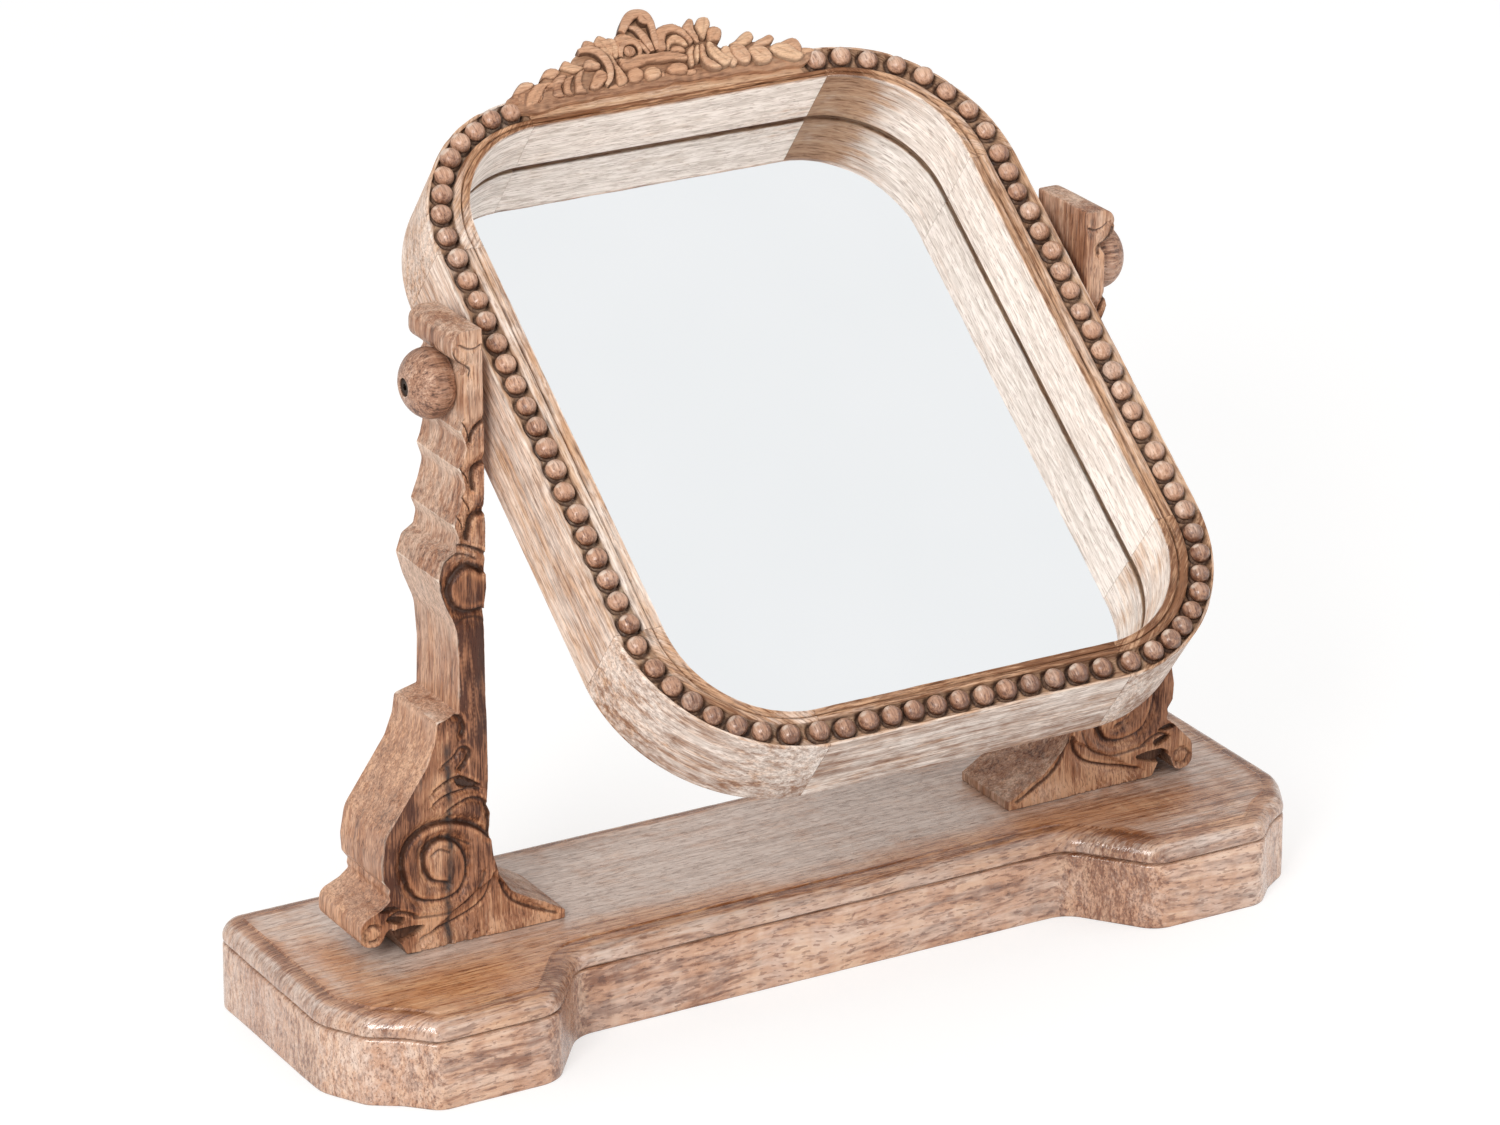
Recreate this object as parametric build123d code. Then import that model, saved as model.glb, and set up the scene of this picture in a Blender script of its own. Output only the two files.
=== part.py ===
from build123d import *
import os
from math import hypot

# Tilting dressing-table mirror in carved, limewashed hardwood.
# Millimetres. +Z is up, -Y is the front, and the frame's pivots lie on the plane Y = 0.
# The origin is on the table, midway between the uprights.
# Pieces of the frame are drawn upright about the pivot axis, and tilted at the end.

# Clearances
FIT = 0.05              # radial, round screws, dowels and inserts
RUNNING = 0.1           # radial, round a pivot screw in its upright and spacer
FACE_GAP = 0.3          # between faces that turn past each other

# Frame, front view: the opening, and the steps from its edge out to the sides
OPENING_WIDTH = 295.0
OPENING_ABOVE = 131.0   # above the pivot axis
OPENING_BELOW = 238.0   # below the pivot axis
OPENING_RADIUS = 60.0
LIP_SIDE = 18.0         # opening edge to the line of bead centres
LIP_TOP = 11.0
LIP_BOTTOM = 13.5
RIM_SIDE = 10.0         # line of bead centres to the outside
RIM_TOP = 8.0
RIM_BOTTOM = 8.5
BEAD_CORNER = 75.0      # radius of the bead line at the corners
OUTER_RADIUS = 90.0

# Frame, section: depths are from its front face
PIVOT_DEPTH = 17.5
FRAME_DEPTH = 51.5
CHANNEL_DEPTH = 4.0
CHANNEL_CLEAR = 0.5     # from a bead to the channel's side
BEAD_RADIUS = 6.0
BEAD_RISE = 3.5         # bead centre above the channel floor
BEAD_SPACINGS = {       # about as the carver set them; each piece holds whole beads
    "top_right": 15.2, "middle_right": 13.2, "bottom_right": 13.5, "bottom_middle": 13.8,
    "bottom_left": 15.2, "middle_left": 13.2, "top_left": 13.5,
}
END_BEAD = 6.7          # centre of the top rail's one bead from its joint, at the crest's right foot
CORNER_BLOCK = 86.0     # length of a corner piece along each side of the frame
STEP_DEPTH = 1.5
STEP_SHARES = (0.62, 0.3)   # where the two steps lie between the opening (0) and the channel (1)
GLASS_DEPTH = 40.0
GLASS_THICKNESS = 4.0
SHADOW_HEIGHT = 2.0     # quirk in front of the glass
SHADOW_WIDTH = 3.0
GLASS_LAP = 5.0         # glass beyond the opening
PANEL_LAP = 12.0        # back panel beyond the opening
PANEL_THICKNESS = 5.0
PANEL_PLAY = 0.5        # glass and panel inside their rebates

# Tilt at which the frame stands, back from upright
TILT = 52.5

# Base
PLINTH_HEIGHT = 38.0
TOP_THICKNESS = 13.0
TOP_ROUND = 11.0
GROOVE_HEIGHT = 1.0
GROOVE_DEPTH = 2.0
BLOCK_FRONT = 103.0     # pivot plane to the front of the end blocks
BASE_BACK = 75.0        # pivot plane to the back
RECESS = 42.0           # middle of the front, behind the blocks
BLOCK_LENGTH = 114.0    # end of the base to the shoulder of its block
SHOULDER_RUN = 33.0
SHOULDER_RADIUS = 20.0
CORNER_RADIUS = 15.0    # back corners
CORNER_CUTS = [         # shaped front corner of a block: (in from its end, back from its front, fillet)
    (45.0, 0.0, 14.0), (30.0, 15.0, 20.0), (14.0, 25.5, 14.0), (0.0, 51.0, 25.0),
]
END_MARGIN = 39.0       # toe of an upright to the end of the base

# Uprights
SPACER_WIDTH = 6.2      # upright to frame, less the gap
UPRIGHT_FRONT = 23.5    # in front of the pivot plane
UPRIGHT_THICKNESS = 50.0
SWING_CLEARANCE = 45.0  # under the frame as it turns over
SEAT_REACH = 12.0       # inner face to the knob's seat
STEM_REACH = 17.5       # inner face to the outer face of the plain middle
TOE_REACH = 71.0        # inner face to the centre of the toe scroll
TOE_RADIUS = 7.5
TOE_RISE = {"left": 17.0, "right": 9.0}   # toe centre above the base: the pair is cut by hand
TONGUE_REACH = 43.5     # inner face to the tip of the foot's tongue
TOP_ROLL_RADIUS = 8.0
CARVING_DEPTH = 2.0
ROUNDEL_RADIUS = 10.5
ROUNDEL_DROP = 108.0    # below the pivot axis
GROOVE_WIDTH = 1.8      # of the carved rings
CARVING_MARGIN = 3.0    # inner face to a carved ring
VOLUTE_RADIUS = 24.0
VOLUTE_RISE = 47.0      # above the base
VOLUTE_PITCH = 5.0      # between the spiral's turns
VOLUTE_HALF_TURNS = 4

# Pivots
SCREW_RADIUS = 2.5
SCREW_HEAD_RADIUS = 4.2
SCREW_HEAD_LENGTH = 5.0
SCREW_SOCKET = 2.0      # radius of the hexagon in the head
SCREW_HOLD = 12.0       # screw inside the frame's side
INSERT_RADIUS = 5.0
INSERT_LENGTH = 14.0
SPACER_RADIUS = 8.0
KNOB_RADIUS = 19.0
KNOB_HALF = 15.0        # half length of the whole oval
KNOB_CENTRE = 8.0       # widest point beyond the seat
KNOB_RECESS = 4.8       # radius
RECESS_COVER = 1.5      # screw head below the knob's end

# Fixings
DOWEL_RADIUS = 3.0
DOWEL_LENGTH = 30.0
DOWEL_DEPTHS = (11.5, 29.5)
POST_DOWEL_RADIUS = 4.0
POST_DOWEL_REACHES = (-12.0, 22.0)
POST_SCREW_REACHES = (10.0, 34.0)
POST_SCREW = {"radius": 2.5, "head": 5.0, "length": 80.0}
BASE_SCREW = {"radius": 2.0, "head": 4.0, "length": 40.0}
PANEL_SCREW = {"radius": 1.5, "head": 2.7, "length": 16.0}
COUNTERBORE = 6.0       # depth of the holes under the base
BASE_SCREW_MARGINS = {"end": 50.0, "back": 25.0, "front": 30.0, "recess": 25.0}
PANEL_SCREW_MARGIN = 20.0   # from where the opening's corners begin
PIN_RADIUS = 1.0        # headless pins between the top rail and the crest
PIN_LENGTH = 16.0
PIN_HOLD = 5.5          # in the crest's foot
PIN_RISE = 3.5          # above the line of bead centres
PIN_SPACING = 60.0
RIM_OF_HEAD = 0.6       # flat edge of a countersunk head

# Crest
CREST_FACE = 5.0        # its ground in front of the frame's face
CREST_THICKNESS = 13.0  # above the frame's edge
CREST_RELIEF = 3.5
CREST_FOOT_GAP = 0.2    # its foot inside the channel

# Sizes that follow
opening_half = OPENING_WIDTH / 2
bead_half = opening_half + LIP_SIDE
outer_half = bead_half + RIM_SIDE
bead_above = OPENING_ABOVE + LIP_TOP
bead_below = OPENING_BELOW + LIP_BOTTOM
outer_above = bead_above + RIM_TOP
outer_below = bead_below + RIM_BOTTOM
upright_inner = outer_half + FACE_GAP + SPACER_WIDTH
base_half = upright_inner + TOE_REACH + TOE_RADIUS + END_MARGIN
base_top = PLINTH_HEIGHT + TOP_THICKNESS
swing_radius = hypot(outer_below, FRAME_DEPTH - PIVOT_DEPTH)
pivot_height = base_top + swing_radius + SWING_CLEARANCE
upright_middle = UPRIGHT_THICKNESS / 2 - UPRIGHT_FRONT
channel_half = BEAD_RADIUS + CHANNEL_CLEAR
joint_x = outer_half - CORNER_BLOCK
joint_top = outer_above - CORNER_BLOCK
joint_bottom = CORNER_BLOCK - outer_below

UP = Vector(0, 0, 1)
pieces = {}


def bar(radius, length):
    """Cylinder standing on the XY plane."""
    return extrude(Circle(radius), length)


def screw(radius, head, length, play=0.0):
    """Countersunk screw hanging from its head at Z = 0, or its hole when play is given."""
    sink = head - radius
    profile = Polyline((0, 0), (head + play, 0), (head + play, -RIM_OF_HEAD),
                       (radius + play, -RIM_OF_HEAD - sink), (radius + play, radius - length),
                       (0.3 * radius + play, -length), (0, -length), close=True)
    body = revolve(Plane.XZ * make_face(profile), Axis.Z)
    if play:
        return body
    slot = Box(head, 0.25 * head, 0.6 * sink, align=(Align.CENTER, Align.CENTER, Align.MAX))
    return body - slot - Rot(0, 0, 90) * slot


def both_sides(name, right_piece):
    """Keep a piece of the right side, and its mirror image as the left one."""
    pieces["right_" + name] = right_piece
    pieces["left_" + name] = mirror(right_piece, about=Plane.YZ)


def along_x(solid, x, y=0.0, z=0.0):
    """Lay a bar or screw that stands on Z = 0 along +X, from x."""
    return Pos(x, y, z) * Rot(0, 90, 0) * solid


def filleted(points):
    """Face inside a closed line of (x, y, fillet radius)."""
    places = [(x, y) for x, y, _ in points]
    return make_face(FilletPolyline(places, radius=[radius for _, _, radius in points], close=True))


# Base

def base_plan(inset=0.0):
    """Outline from above: two blocks, and the middle set back behind them."""
    recess_line = RECESS - BLOCK_FRONT
    right = [
        (base_half - BLOCK_LENGTH - SHOULDER_RUN, recess_line, SHOULDER_RADIUS),
        (base_half - BLOCK_LENGTH, -BLOCK_FRONT, SHOULDER_RADIUS),
    ]
    right += [(base_half - cut, back - BLOCK_FRONT, radius) for cut, back, radius in CORNER_CUTS]
    right.append((base_half, BASE_BACK, CORNER_RADIUS))
    face = filleted(right + [(-x, y, radius) for x, y, radius in reversed(right)])
    return offset(face, -inset) if inset else face


def base_screw_places():
    """The end blocks' four screws and two in the middle, looking down."""
    end = base_half - BASE_SCREW_MARGINS["end"]
    back = BASE_BACK - BASE_SCREW_MARGINS["back"]
    front = BASE_SCREW_MARGINS["front"] - BLOCK_FRONT
    return [(-end, front), (end, front), (-end, back), (end, back),
            (0, back), (0, RECESS - BLOCK_FRONT + BASE_SCREW_MARGINS["recess"])]


def upright_fixing_holes():
    """Holes through the base and into both uprights for their screws and dowels."""
    holes = []
    for side in (-1, 1):
        for reach in POST_SCREW_REACHES:
            holes += screw_hole_from_below(side * (upright_inner + reach), upright_middle, POST_SCREW)
        for reach in POST_DOWEL_REACHES:
            x = side * (upright_inner + reach)
            holes.append(Pos(x, upright_middle, base_top - DOWEL_LENGTH / 2)
                         * bar(POST_DOWEL_RADIUS + FIT, DOWEL_LENGTH))
    return holes


def screw_hole_from_below(x, y, size):
    """Hole of a screw that points up, and the counterbore under its head."""
    return [Pos(x, y, COUNTERBORE) * Rot(180, 0, 0) * screw(**size, play=FIT),
            Pos(x, y, 0) * bar(size["head"] + FIT, COUNTERBORE)]


def base_screw_holes():
    return [hole for x, y in base_screw_places() for hole in screw_hole_from_below(x, y, BASE_SCREW)]


def base_plinth():
    return extrude(base_plan(), PLINTH_HEIGHT, dir=UP) - upright_fixing_holes() - base_screw_holes()


def base_top_board():
    """Board with a rounded upper edge, on a set-back foot that leaves the shadow groove."""
    underside = Pos(0, 0, PLINTH_HEIGHT + GROOVE_HEIGHT) * base_plan()
    board = extrude(underside, TOP_THICKNESS - GROOVE_HEIGHT, dir=UP)
    board = fillet(board.faces().sort_by(Axis.Z)[-1].edges(), TOP_ROUND)
    board += extrude(Pos(0, 0, PLINTH_HEIGHT) * base_plan(GROOVE_DEPTH), GROOVE_HEIGHT, dir=UP)
    return board - upright_fixing_holes() - base_screw_holes()


pieces["base_plinth"] = base_plinth()
pieces["base_top"] = base_top_board()
pieces["base_screws"] = Compound(children=[
    Pos(x, y, COUNTERBORE) * Rot(180, 0, 0) * screw(**BASE_SCREW) for x, y in base_screw_places()])


# Uprights: drawn on the right, as points out from the inner face and up

def upright_outline(toe_rise):
    """Front outline of an upright, as (x, z, fillet radius) from the top down and back up the inner face."""
    roll = TOP_ROLL_RADIUS
    upper = [
        (0.5, 34.5, 2), (STEM_REACH, 34.5, roll), (STEM_REACH, 22, 6), (8, 13, 3), (SEAT_REACH, 8, 0),
        (SEAT_REACH, -17, 6), (14.3, -38, 5), (12, -52, 5), (STEM_REACH, -70, 5), (15, -81, 5),
        (27.5, -96, 8), (27.5, -106, 12), (STEM_REACH, -136, 40),
    ]
    lower = [
        (STEM_REACH, 131, 3), (30.5, 129, 3), (31, 117, 25), (61, 74, 30), (64.5, 52, 25),
        (62, 40, 8), (68, 29, 6),
    ]
    toe = [
        (TOE_REACH + 4, TOE_RADIUS - 0.5, 5), (TOE_REACH, 0, 0), (TOE_REACH - 8, -TOE_RADIUS + 0.5, 0),
    ]
    sole = [
        (46, 8, 4), (41, 0, 0), (-TONGUE_REACH, 0, 0), (-TONGUE_REACH, 6, 2), (-16, 19, 30), (-4, 34, 30),
        (0.5, 58, 30),
    ]
    points = [(reach, pivot_height + height, radius) for reach, height, radius in upper]
    points += [(reach, base_top + height, radius) for reach, height, radius in lower]
    points += [(reach, base_top + toe_rise + height, radius) for reach, height, radius in toe]
    points += [(reach, base_top + height, radius) for reach, height, radius in sole]
    return [(upright_inner + reach, height, radius) for reach, height, radius in points]


def on_front(sketch, x, z, depth):
    """Stretch a sketch of the front view back from an upright's face."""
    face = Plane(origin=(x, -UPRIGHT_FRONT, z), x_dir=(1, 0, 0), z_dir=(0, -1, 0)) * sketch
    return extrude(face, depth, dir=(0, 1, 0))


def volute_cut():
    """Spiral groove of half rings, each on a smaller radius than the last and meeting its end."""
    x = upright_inner + VOLUTE_RADIUS + CARVING_MARGIN
    cuts = []
    for turn in range(VOLUTE_HALF_TURNS):
        side = (-1) ** turn
        radius = VOLUTE_RADIUS - turn * VOLUTE_PITCH / 2
        half = Pos(0, side * radius) * Rectangle(2 * radius, 2 * radius)
        ring = (Circle(radius) - Circle(radius - GROOVE_WIDTH)) & half
        shift = VOLUTE_PITCH / 2 if turn % 2 else 0.0
        cuts.append(on_front(ring, x + shift, base_top + VOLUTE_RISE, CARVING_DEPTH))
    return cuts


def upright(toe_rise):
    post = on_front(filleted(upright_outline(toe_rise)), 0, 0, UPRIGHT_THICKNESS)
    post += on_front(Circle(TOE_RADIUS), upright_inner + TOE_REACH, base_top + toe_rise, UPRIGHT_THICKNESS)
    ring = Circle(ROUNDEL_RADIUS) - Circle(ROUNDEL_RADIUS - GROOVE_WIDTH)
    roundel = on_front(ring, upright_inner + ROUNDEL_RADIUS + CARVING_MARGIN, pivot_height - ROUNDEL_DROP,
                       CARVING_DEPTH)
    pivot_hole = along_x(bar(SCREW_RADIUS + RUNNING, SEAT_REACH), upright_inner, 0, pivot_height)
    return post - roundel - volute_cut() - pivot_hole - upright_fixing_holes()


pieces["left_upright"] = mirror(upright(TOE_RISE["left"]), about=Plane.YZ)
pieces["right_upright"] = upright(TOE_RISE["right"])
both_sides("upright_screws", Compound(children=[
    Pos(upright_inner + reach, upright_middle, COUNTERBORE) * Rot(180, 0, 0) * screw(**POST_SCREW)
    for reach in POST_SCREW_REACHES]))
both_sides("upright_dowels", Compound(children=[
    Pos(upright_inner + reach, upright_middle, base_top - DOWEL_LENGTH / 2)
    * bar(POST_DOWEL_RADIUS, DOWEL_LENGTH) for reach in POST_DOWEL_REACHES]))


# Pivots

def knob():
    """Turned oval with a flat inner end and a drilled outer end, on the axis X from its widest point."""
    upper = Pos(0, KNOB_RADIUS) * Rectangle(2 * KNOB_HALF, 2 * KNOB_RADIUS)
    half = Ellipse(KNOB_HALF, KNOB_RADIUS) & upper
    flat = FACE_GAP - KNOB_CENTRE
    half -= Pos(flat - KNOB_HALF, 0) * Rectangle(2 * KNOB_HALF, 4 * KNOB_RADIUS)
    ball = revolve(half, Axis.X)
    floor = KNOB_HALF - RECESS_COVER - SCREW_HEAD_LENGTH
    ball -= along_x(bar(KNOB_RECESS, KNOB_HALF), floor)
    return ball - along_x(bar(SCREW_RADIUS + FIT, 2 * KNOB_HALF), flat - 1)


def pivot_screw(length):
    """Cap screw along -X from the seat of its head at X = 0."""
    shank = along_x(bar(SCREW_RADIUS, length), -length)
    head = along_x(bar(SCREW_HEAD_RADIUS, SCREW_HEAD_LENGTH), 0)
    socket = along_x(extrude(RegularPolygon(SCREW_SOCKET, 6), SCREW_HEAD_LENGTH), 0.4 * SCREW_HEAD_LENGTH)
    return chamfer(shank.faces().sort_by(Axis.X)[0].edges(), 0.6) + head - socket


knob_x = upright_inner + SEAT_REACH + KNOB_CENTRE
head_x = knob_x + KNOB_HALF - RECESS_COVER - SCREW_HEAD_LENGTH
screw_tip = outer_half - SCREW_HOLD
both_sides("knob", Pos(knob_x, 0, pivot_height) * knob())
both_sides("pivot_screw", Pos(head_x, 0, pivot_height) * pivot_screw(head_x - screw_tip))
both_sides("spacer", along_x(bar(SPACER_RADIUS, SPACER_WIDTH) - bar(SCREW_RADIUS + RUNNING, SPACER_WIDTH),
                             outer_half + FACE_GAP, 0, pivot_height))


# Frame: drawn upright, with the pivot axis through the origin and depth along +Y

def rounded(half, above, below, radius, spread=0.0):
    """Rounded rectangle of the front view, grown all round by spread."""
    shape = RectangleRounded(2 * (half + spread), above + below + 2 * spread, radius + spread)
    return Pos(0, (above - below) / 2) * shape


def opening(spread=0.0):
    return rounded(opening_half, OPENING_ABOVE, OPENING_BELOW, OPENING_RADIUS, spread)


def bead_line(spread=0.0):
    return rounded(bead_half, bead_above, bead_below, BEAD_CORNER, spread)


def lip(share):
    """Outline between the opening (0) and the bead channel (1)."""
    def between(low, high):
        return low + (high - low) * share
    return rounded(between(opening_half, bead_half - channel_half),
                   between(OPENING_ABOVE, bead_above - channel_half),
                   between(OPENING_BELOW, bead_below - channel_half),
                   between(OPENING_RADIUS, BEAD_CORNER - channel_half))


def layer(sketch, start, end):
    """Solid of a front-view sketch between two depths behind the frame's front face."""
    plane = Plane(origin=(0, end - PIVOT_DEPTH, 0), x_dir=(1, 0, 0), z_dir=(0, -1, 0))
    return extrude(plane * sketch, end - start)


def bead_places():
    """Centres of the beads, spaced evenly along the bead line of each piece, clockwise from the crest."""
    across = bead_half - BEAD_CORNER
    rise = {"top": bead_above - BEAD_CORNER, "bottom": BEAD_CORNER - bead_below}
    centres = [(across, rise["top"]), (across, rise["bottom"]),
               (-across, rise["bottom"]), (-across, rise["top"])]
    arcs = [CenterArc(centre, BEAD_CORNER, 90 - 90 * n, -90) for n, centre in enumerate(centres)]
    ends = [Vector(joint_x, bead_above)] + [point for arc in arcs for point in (arc @ 0, arc @ 1)]
    ends.append(Vector(-joint_x, bead_above))
    line = Wire(arcs + [Line(ends[n], ends[n + 1]) for n in range(0, len(ends), 2)])
    corner = arcs[0].length + across - joint_x
    spans = {"top": corner + rise["top"] - joint_top, "middle": joint_top - joint_bottom,
             "bottom": corner + joint_bottom - rise["bottom"], "bottom_middle": 2 * joint_x}
    spots = [Vector(joint_x - END_BEAD, bead_above)]
    start = 0.0
    for name, spacing in BEAD_SPACINGS.items():
        span = spans.get(name, spans[name.split("_")[0]])
        count = round(span / spacing)
        spots += [line.position_at(start + span * (n + 0.5) / count, position_mode=PositionMode.LENGTH)
                  for n in range(count)]
        start += span
    depth = CHANNEL_DEPTH - BEAD_RISE - PIVOT_DEPTH
    return [Vector(spot.X, depth, spot.Y) for spot in spots]


def beads(radius):
    return [Pos(place) * Sphere(radius) for place in bead_places()]


def panel_screw_places():
    """Screws through the panel's margin, halfway between the glass and the panel's edge."""
    lap = (GLASS_LAP + PANEL_LAP) / 2
    side = opening_half + lap
    end = opening_half - OPENING_RADIUS - PANEL_SCREW_MARGIN
    middle = (OPENING_ABOVE - OPENING_BELOW) / 2
    rise = (OPENING_ABOVE + OPENING_BELOW) / 2 - OPENING_RADIUS - PANEL_SCREW_MARGIN
    places = [(sign * side, middle + step * rise) for sign in (-1, 1) for step in (-1, 0, 1)]
    places += [(sign * end, OPENING_ABOVE + lap) for sign in (-1, 1)]
    places += [(sign * end, -OPENING_BELOW - lap) for sign in (-1, 1)]
    return places


def panel_screws(play=0.0):
    back = GLASS_DEPTH + GLASS_THICKNESS + PANEL_THICKNESS - PIVOT_DEPTH
    places = panel_screw_places()
    return [Pos(x, back, z) * Rot(-90, 0, 0) * screw(**PANEL_SCREW, play=play) for x, z in places]


def frame_dowels(play=0.0):
    """Two dowels across each butt joint, in the middle of the rail's width."""
    dowel = Pos(0, 0, -DOWEL_LENGTH / 2) * bar(DOWEL_RADIUS + play, DOWEL_LENGTH)
    dowels = []
    for depth in DOWEL_DEPTHS:
        y = depth - PIVOT_DEPTH
        for side in (-1, 1):
            for z in (joint_top, joint_bottom):
                dowels.append(Pos(side * (opening_half + outer_half) / 2, y, z) * dowel)
            for z in ((OPENING_ABOVE + outer_above) / 2, -(OPENING_BELOW + outer_below) / 2):
                dowels.append(along_x(dowel, side * joint_x, y, z))
    return dowels


def crest_pins(play=0.0):
    """Blind pins from the crest's foot into the top rail."""
    start = CHANNEL_DEPTH - PIN_HOLD - PIVOT_DEPTH
    pin = Rot(-90, 0, 0) * bar(PIN_RADIUS + play, PIN_LENGTH)
    return [Pos(x, start, bead_above + PIN_RISE) * pin for x in (-PIN_SPACING, 0, PIN_SPACING)]


def whole_frame():
    """The frame before it is parted into rails and corners."""
    ring = layer(rounded(outer_half, outer_above, outer_below, OUTER_RADIUS) - opening(), 0, FRAME_DEPTH)
    ring -= layer(bead_line(channel_half) - bead_line(-channel_half), 0, CHANNEL_DEPTH)
    for number, share in enumerate(STEP_SHARES):
        ring -= layer(lip(share), 0, STEP_DEPTH * (number + 1))
    ring -= layer(opening(SHADOW_WIDTH), GLASS_DEPTH - SHADOW_HEIGHT, GLASS_DEPTH)
    ring -= layer(opening(GLASS_LAP), GLASS_DEPTH, FRAME_DEPTH)
    ring -= layer(opening(PANEL_LAP), GLASS_DEPTH + GLASS_THICKNESS, FRAME_DEPTH)
    for side in (-1, 1):
        ring -= along_x(bar(INSERT_RADIUS + FIT, 2 * INSERT_LENGTH), side * outer_half - INSERT_LENGTH)
    ring -= frame_dowels(FIT)
    ring -= panel_screws(FIT)
    ring -= crest_pins(FIT)
    return ring + beads(BEAD_RADIUS)


def block(x_span, z_span):
    """Box over the frame's whole depth, for parting it."""
    width = x_span[1] - x_span[0]
    height = z_span[1] - z_span[0]
    middle = Pos((x_span[0] + x_span[1]) / 2, 0, (z_span[0] + z_span[1]) / 2)
    return middle * Box(width, 4 * FRAME_DEPTH, height)


beyond = 2 * outer_below
columns = {"left": (-beyond, -joint_x), "middle": (-joint_x, joint_x), "right": (joint_x, beyond)}
rows = {"top": (joint_top, beyond), "middle": (joint_bottom, joint_top), "bottom": (-beyond, joint_bottom)}
frame_parts = {}
ring = whole_frame()
for row, z_span in rows.items():
    for column, x_span in columns.items():
        if row == column:
            continue
        if row == "middle":
            name = f"frame_{column}_rail"
        elif column == "middle":
            name = f"frame_{row}_rail"
        else:
            name = f"frame_corner_{row}_{column}"
        frame_parts[name] = ring & block(x_span, z_span)

panel_front = GLASS_DEPTH + GLASS_THICKNESS
frame_parts["mirror_glass"] = layer(opening(GLASS_LAP - PANEL_PLAY), GLASS_DEPTH, panel_front)
panel = layer(opening(PANEL_LAP - PANEL_PLAY), panel_front, panel_front + PANEL_THICKNESS)
frame_parts["back_panel"] = panel - panel_screws(FIT)
frame_parts["back_panel_screws"] = Compound(children=panel_screws())
frame_parts["frame_dowels"] = Compound(children=frame_dowels())
insert = bar(INSERT_RADIUS, INSERT_LENGTH) - bar(SCREW_RADIUS + FIT, INSERT_LENGTH)
frame_parts["right_frame_insert"] = along_x(insert, outer_half - INSERT_LENGTH)
frame_parts["left_frame_insert"] = along_x(insert, -outer_half)


# Crest: overlapping leaves on a common ground, as (x, height above the pivot, turn, length, width, lift)

LEAVES = [
    (-88, 146, 140, 24, 15, 0.3), (-72, 152, 125, 24, 16, 0.6), (-56, 154, 118, 24, 15, 0.9),
    (-38, 158, 115, 36, 20, 1.0), (-20, 162, 80, 34, 20, 0.6), (-1, 170, 85, 42, 22, 1.0),
    (12, 162, 70, 34, 20, 0.5), (22, 166, 95, 30, 15, 1.0), (31, 165, 70, 30, 14, 0.8),
    (39, 158, 40, 22, 15, 0.9), (55, 154, 55, 26, 15, 0.7), (68, 151, 45, 24, 14, 0.9),
    (76, 147, 30, 20, 12, 0.5),
    (-64, 143, 175, 40, 14, 0.4), (-30, 146, 160, 44, 18, 0.8), (4, 148, 20, 46, 20, 0.9),
    (48, 145, 10, 46, 12, 0.4),
]


def leaf(x, z, turn, length, width, lift):
    """Pointed oval of two arcs, standing on the crest's ground."""
    tip = Vector(length / 2, 0)
    edge = ThreePointArc(-tip, (0, width / 2), tip) + ThreePointArc(tip, (0, -width / 2), -tip)
    face = Pos(x, z) * Rot(0, 0, turn) * make_face(edge)
    return layer(face, -CREST_FACE - CREST_RELIEF * lift, CREST_THICKNESS - CREST_FACE)


def crest():
    """Leaves joined by a low band, whose foot goes down to the floor of the bead channel."""
    carving = [leaf(*values) for values in LEAVES]
    frame_edge = rounded(outer_half, outer_above, outer_below, OUTER_RADIUS, FACE_GAP)
    carving = carving[0] + carving[1:] - layer(frame_edge, 0, FRAME_DEPTH)
    left = -joint_x + FACE_GAP
    right = joint_x - END_BEAD - BEAD_RADIUS - FACE_GAP
    band = Pos((left + right) / 2, bead_above) * Rectangle(right - left, 2 * (channel_half - CREST_FOOT_GAP))
    carving += layer(band, -CREST_FACE, CHANNEL_DEPTH)
    return carving - beads(BEAD_RADIUS + FACE_GAP) - crest_pins(FIT)


frame_parts["crest"] = crest()
frame_parts["crest_pins"] = Compound(children=crest_pins())

standing = Location((0, 0, pivot_height), (-TILT, 0, 0))
for name, piece in frame_parts.items():
    pieces[name] = standing * piece

os.makedirs("parts", exist_ok=True)
for name, piece in pieces.items():
    export_step(piece, f"parts/{name}.step")
print(len(pieces), "nodes, pivot at", round(pivot_height, 2), "base half", base_half)
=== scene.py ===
import math

import bmesh
import bpy
import numpy as np
from mathutils import Matrix, Vector, geometry


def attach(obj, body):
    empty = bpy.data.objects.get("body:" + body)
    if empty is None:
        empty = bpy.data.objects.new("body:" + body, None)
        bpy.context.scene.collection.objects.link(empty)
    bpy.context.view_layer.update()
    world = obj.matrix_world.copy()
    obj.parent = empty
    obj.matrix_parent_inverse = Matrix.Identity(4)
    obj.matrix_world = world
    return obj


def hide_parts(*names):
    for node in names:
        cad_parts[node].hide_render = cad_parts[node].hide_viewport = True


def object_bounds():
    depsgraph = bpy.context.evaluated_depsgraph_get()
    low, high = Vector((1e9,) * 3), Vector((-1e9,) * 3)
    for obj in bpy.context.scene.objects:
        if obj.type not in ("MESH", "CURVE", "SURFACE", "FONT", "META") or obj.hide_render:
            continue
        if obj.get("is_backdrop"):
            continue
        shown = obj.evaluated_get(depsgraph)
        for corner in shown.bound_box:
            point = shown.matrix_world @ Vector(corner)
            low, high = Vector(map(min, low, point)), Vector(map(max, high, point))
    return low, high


# Tilting dressing-table mirror in carved, limewashed hardwood.
# Shapes are worked out in millimetres in the row frame and written in metres.

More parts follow.
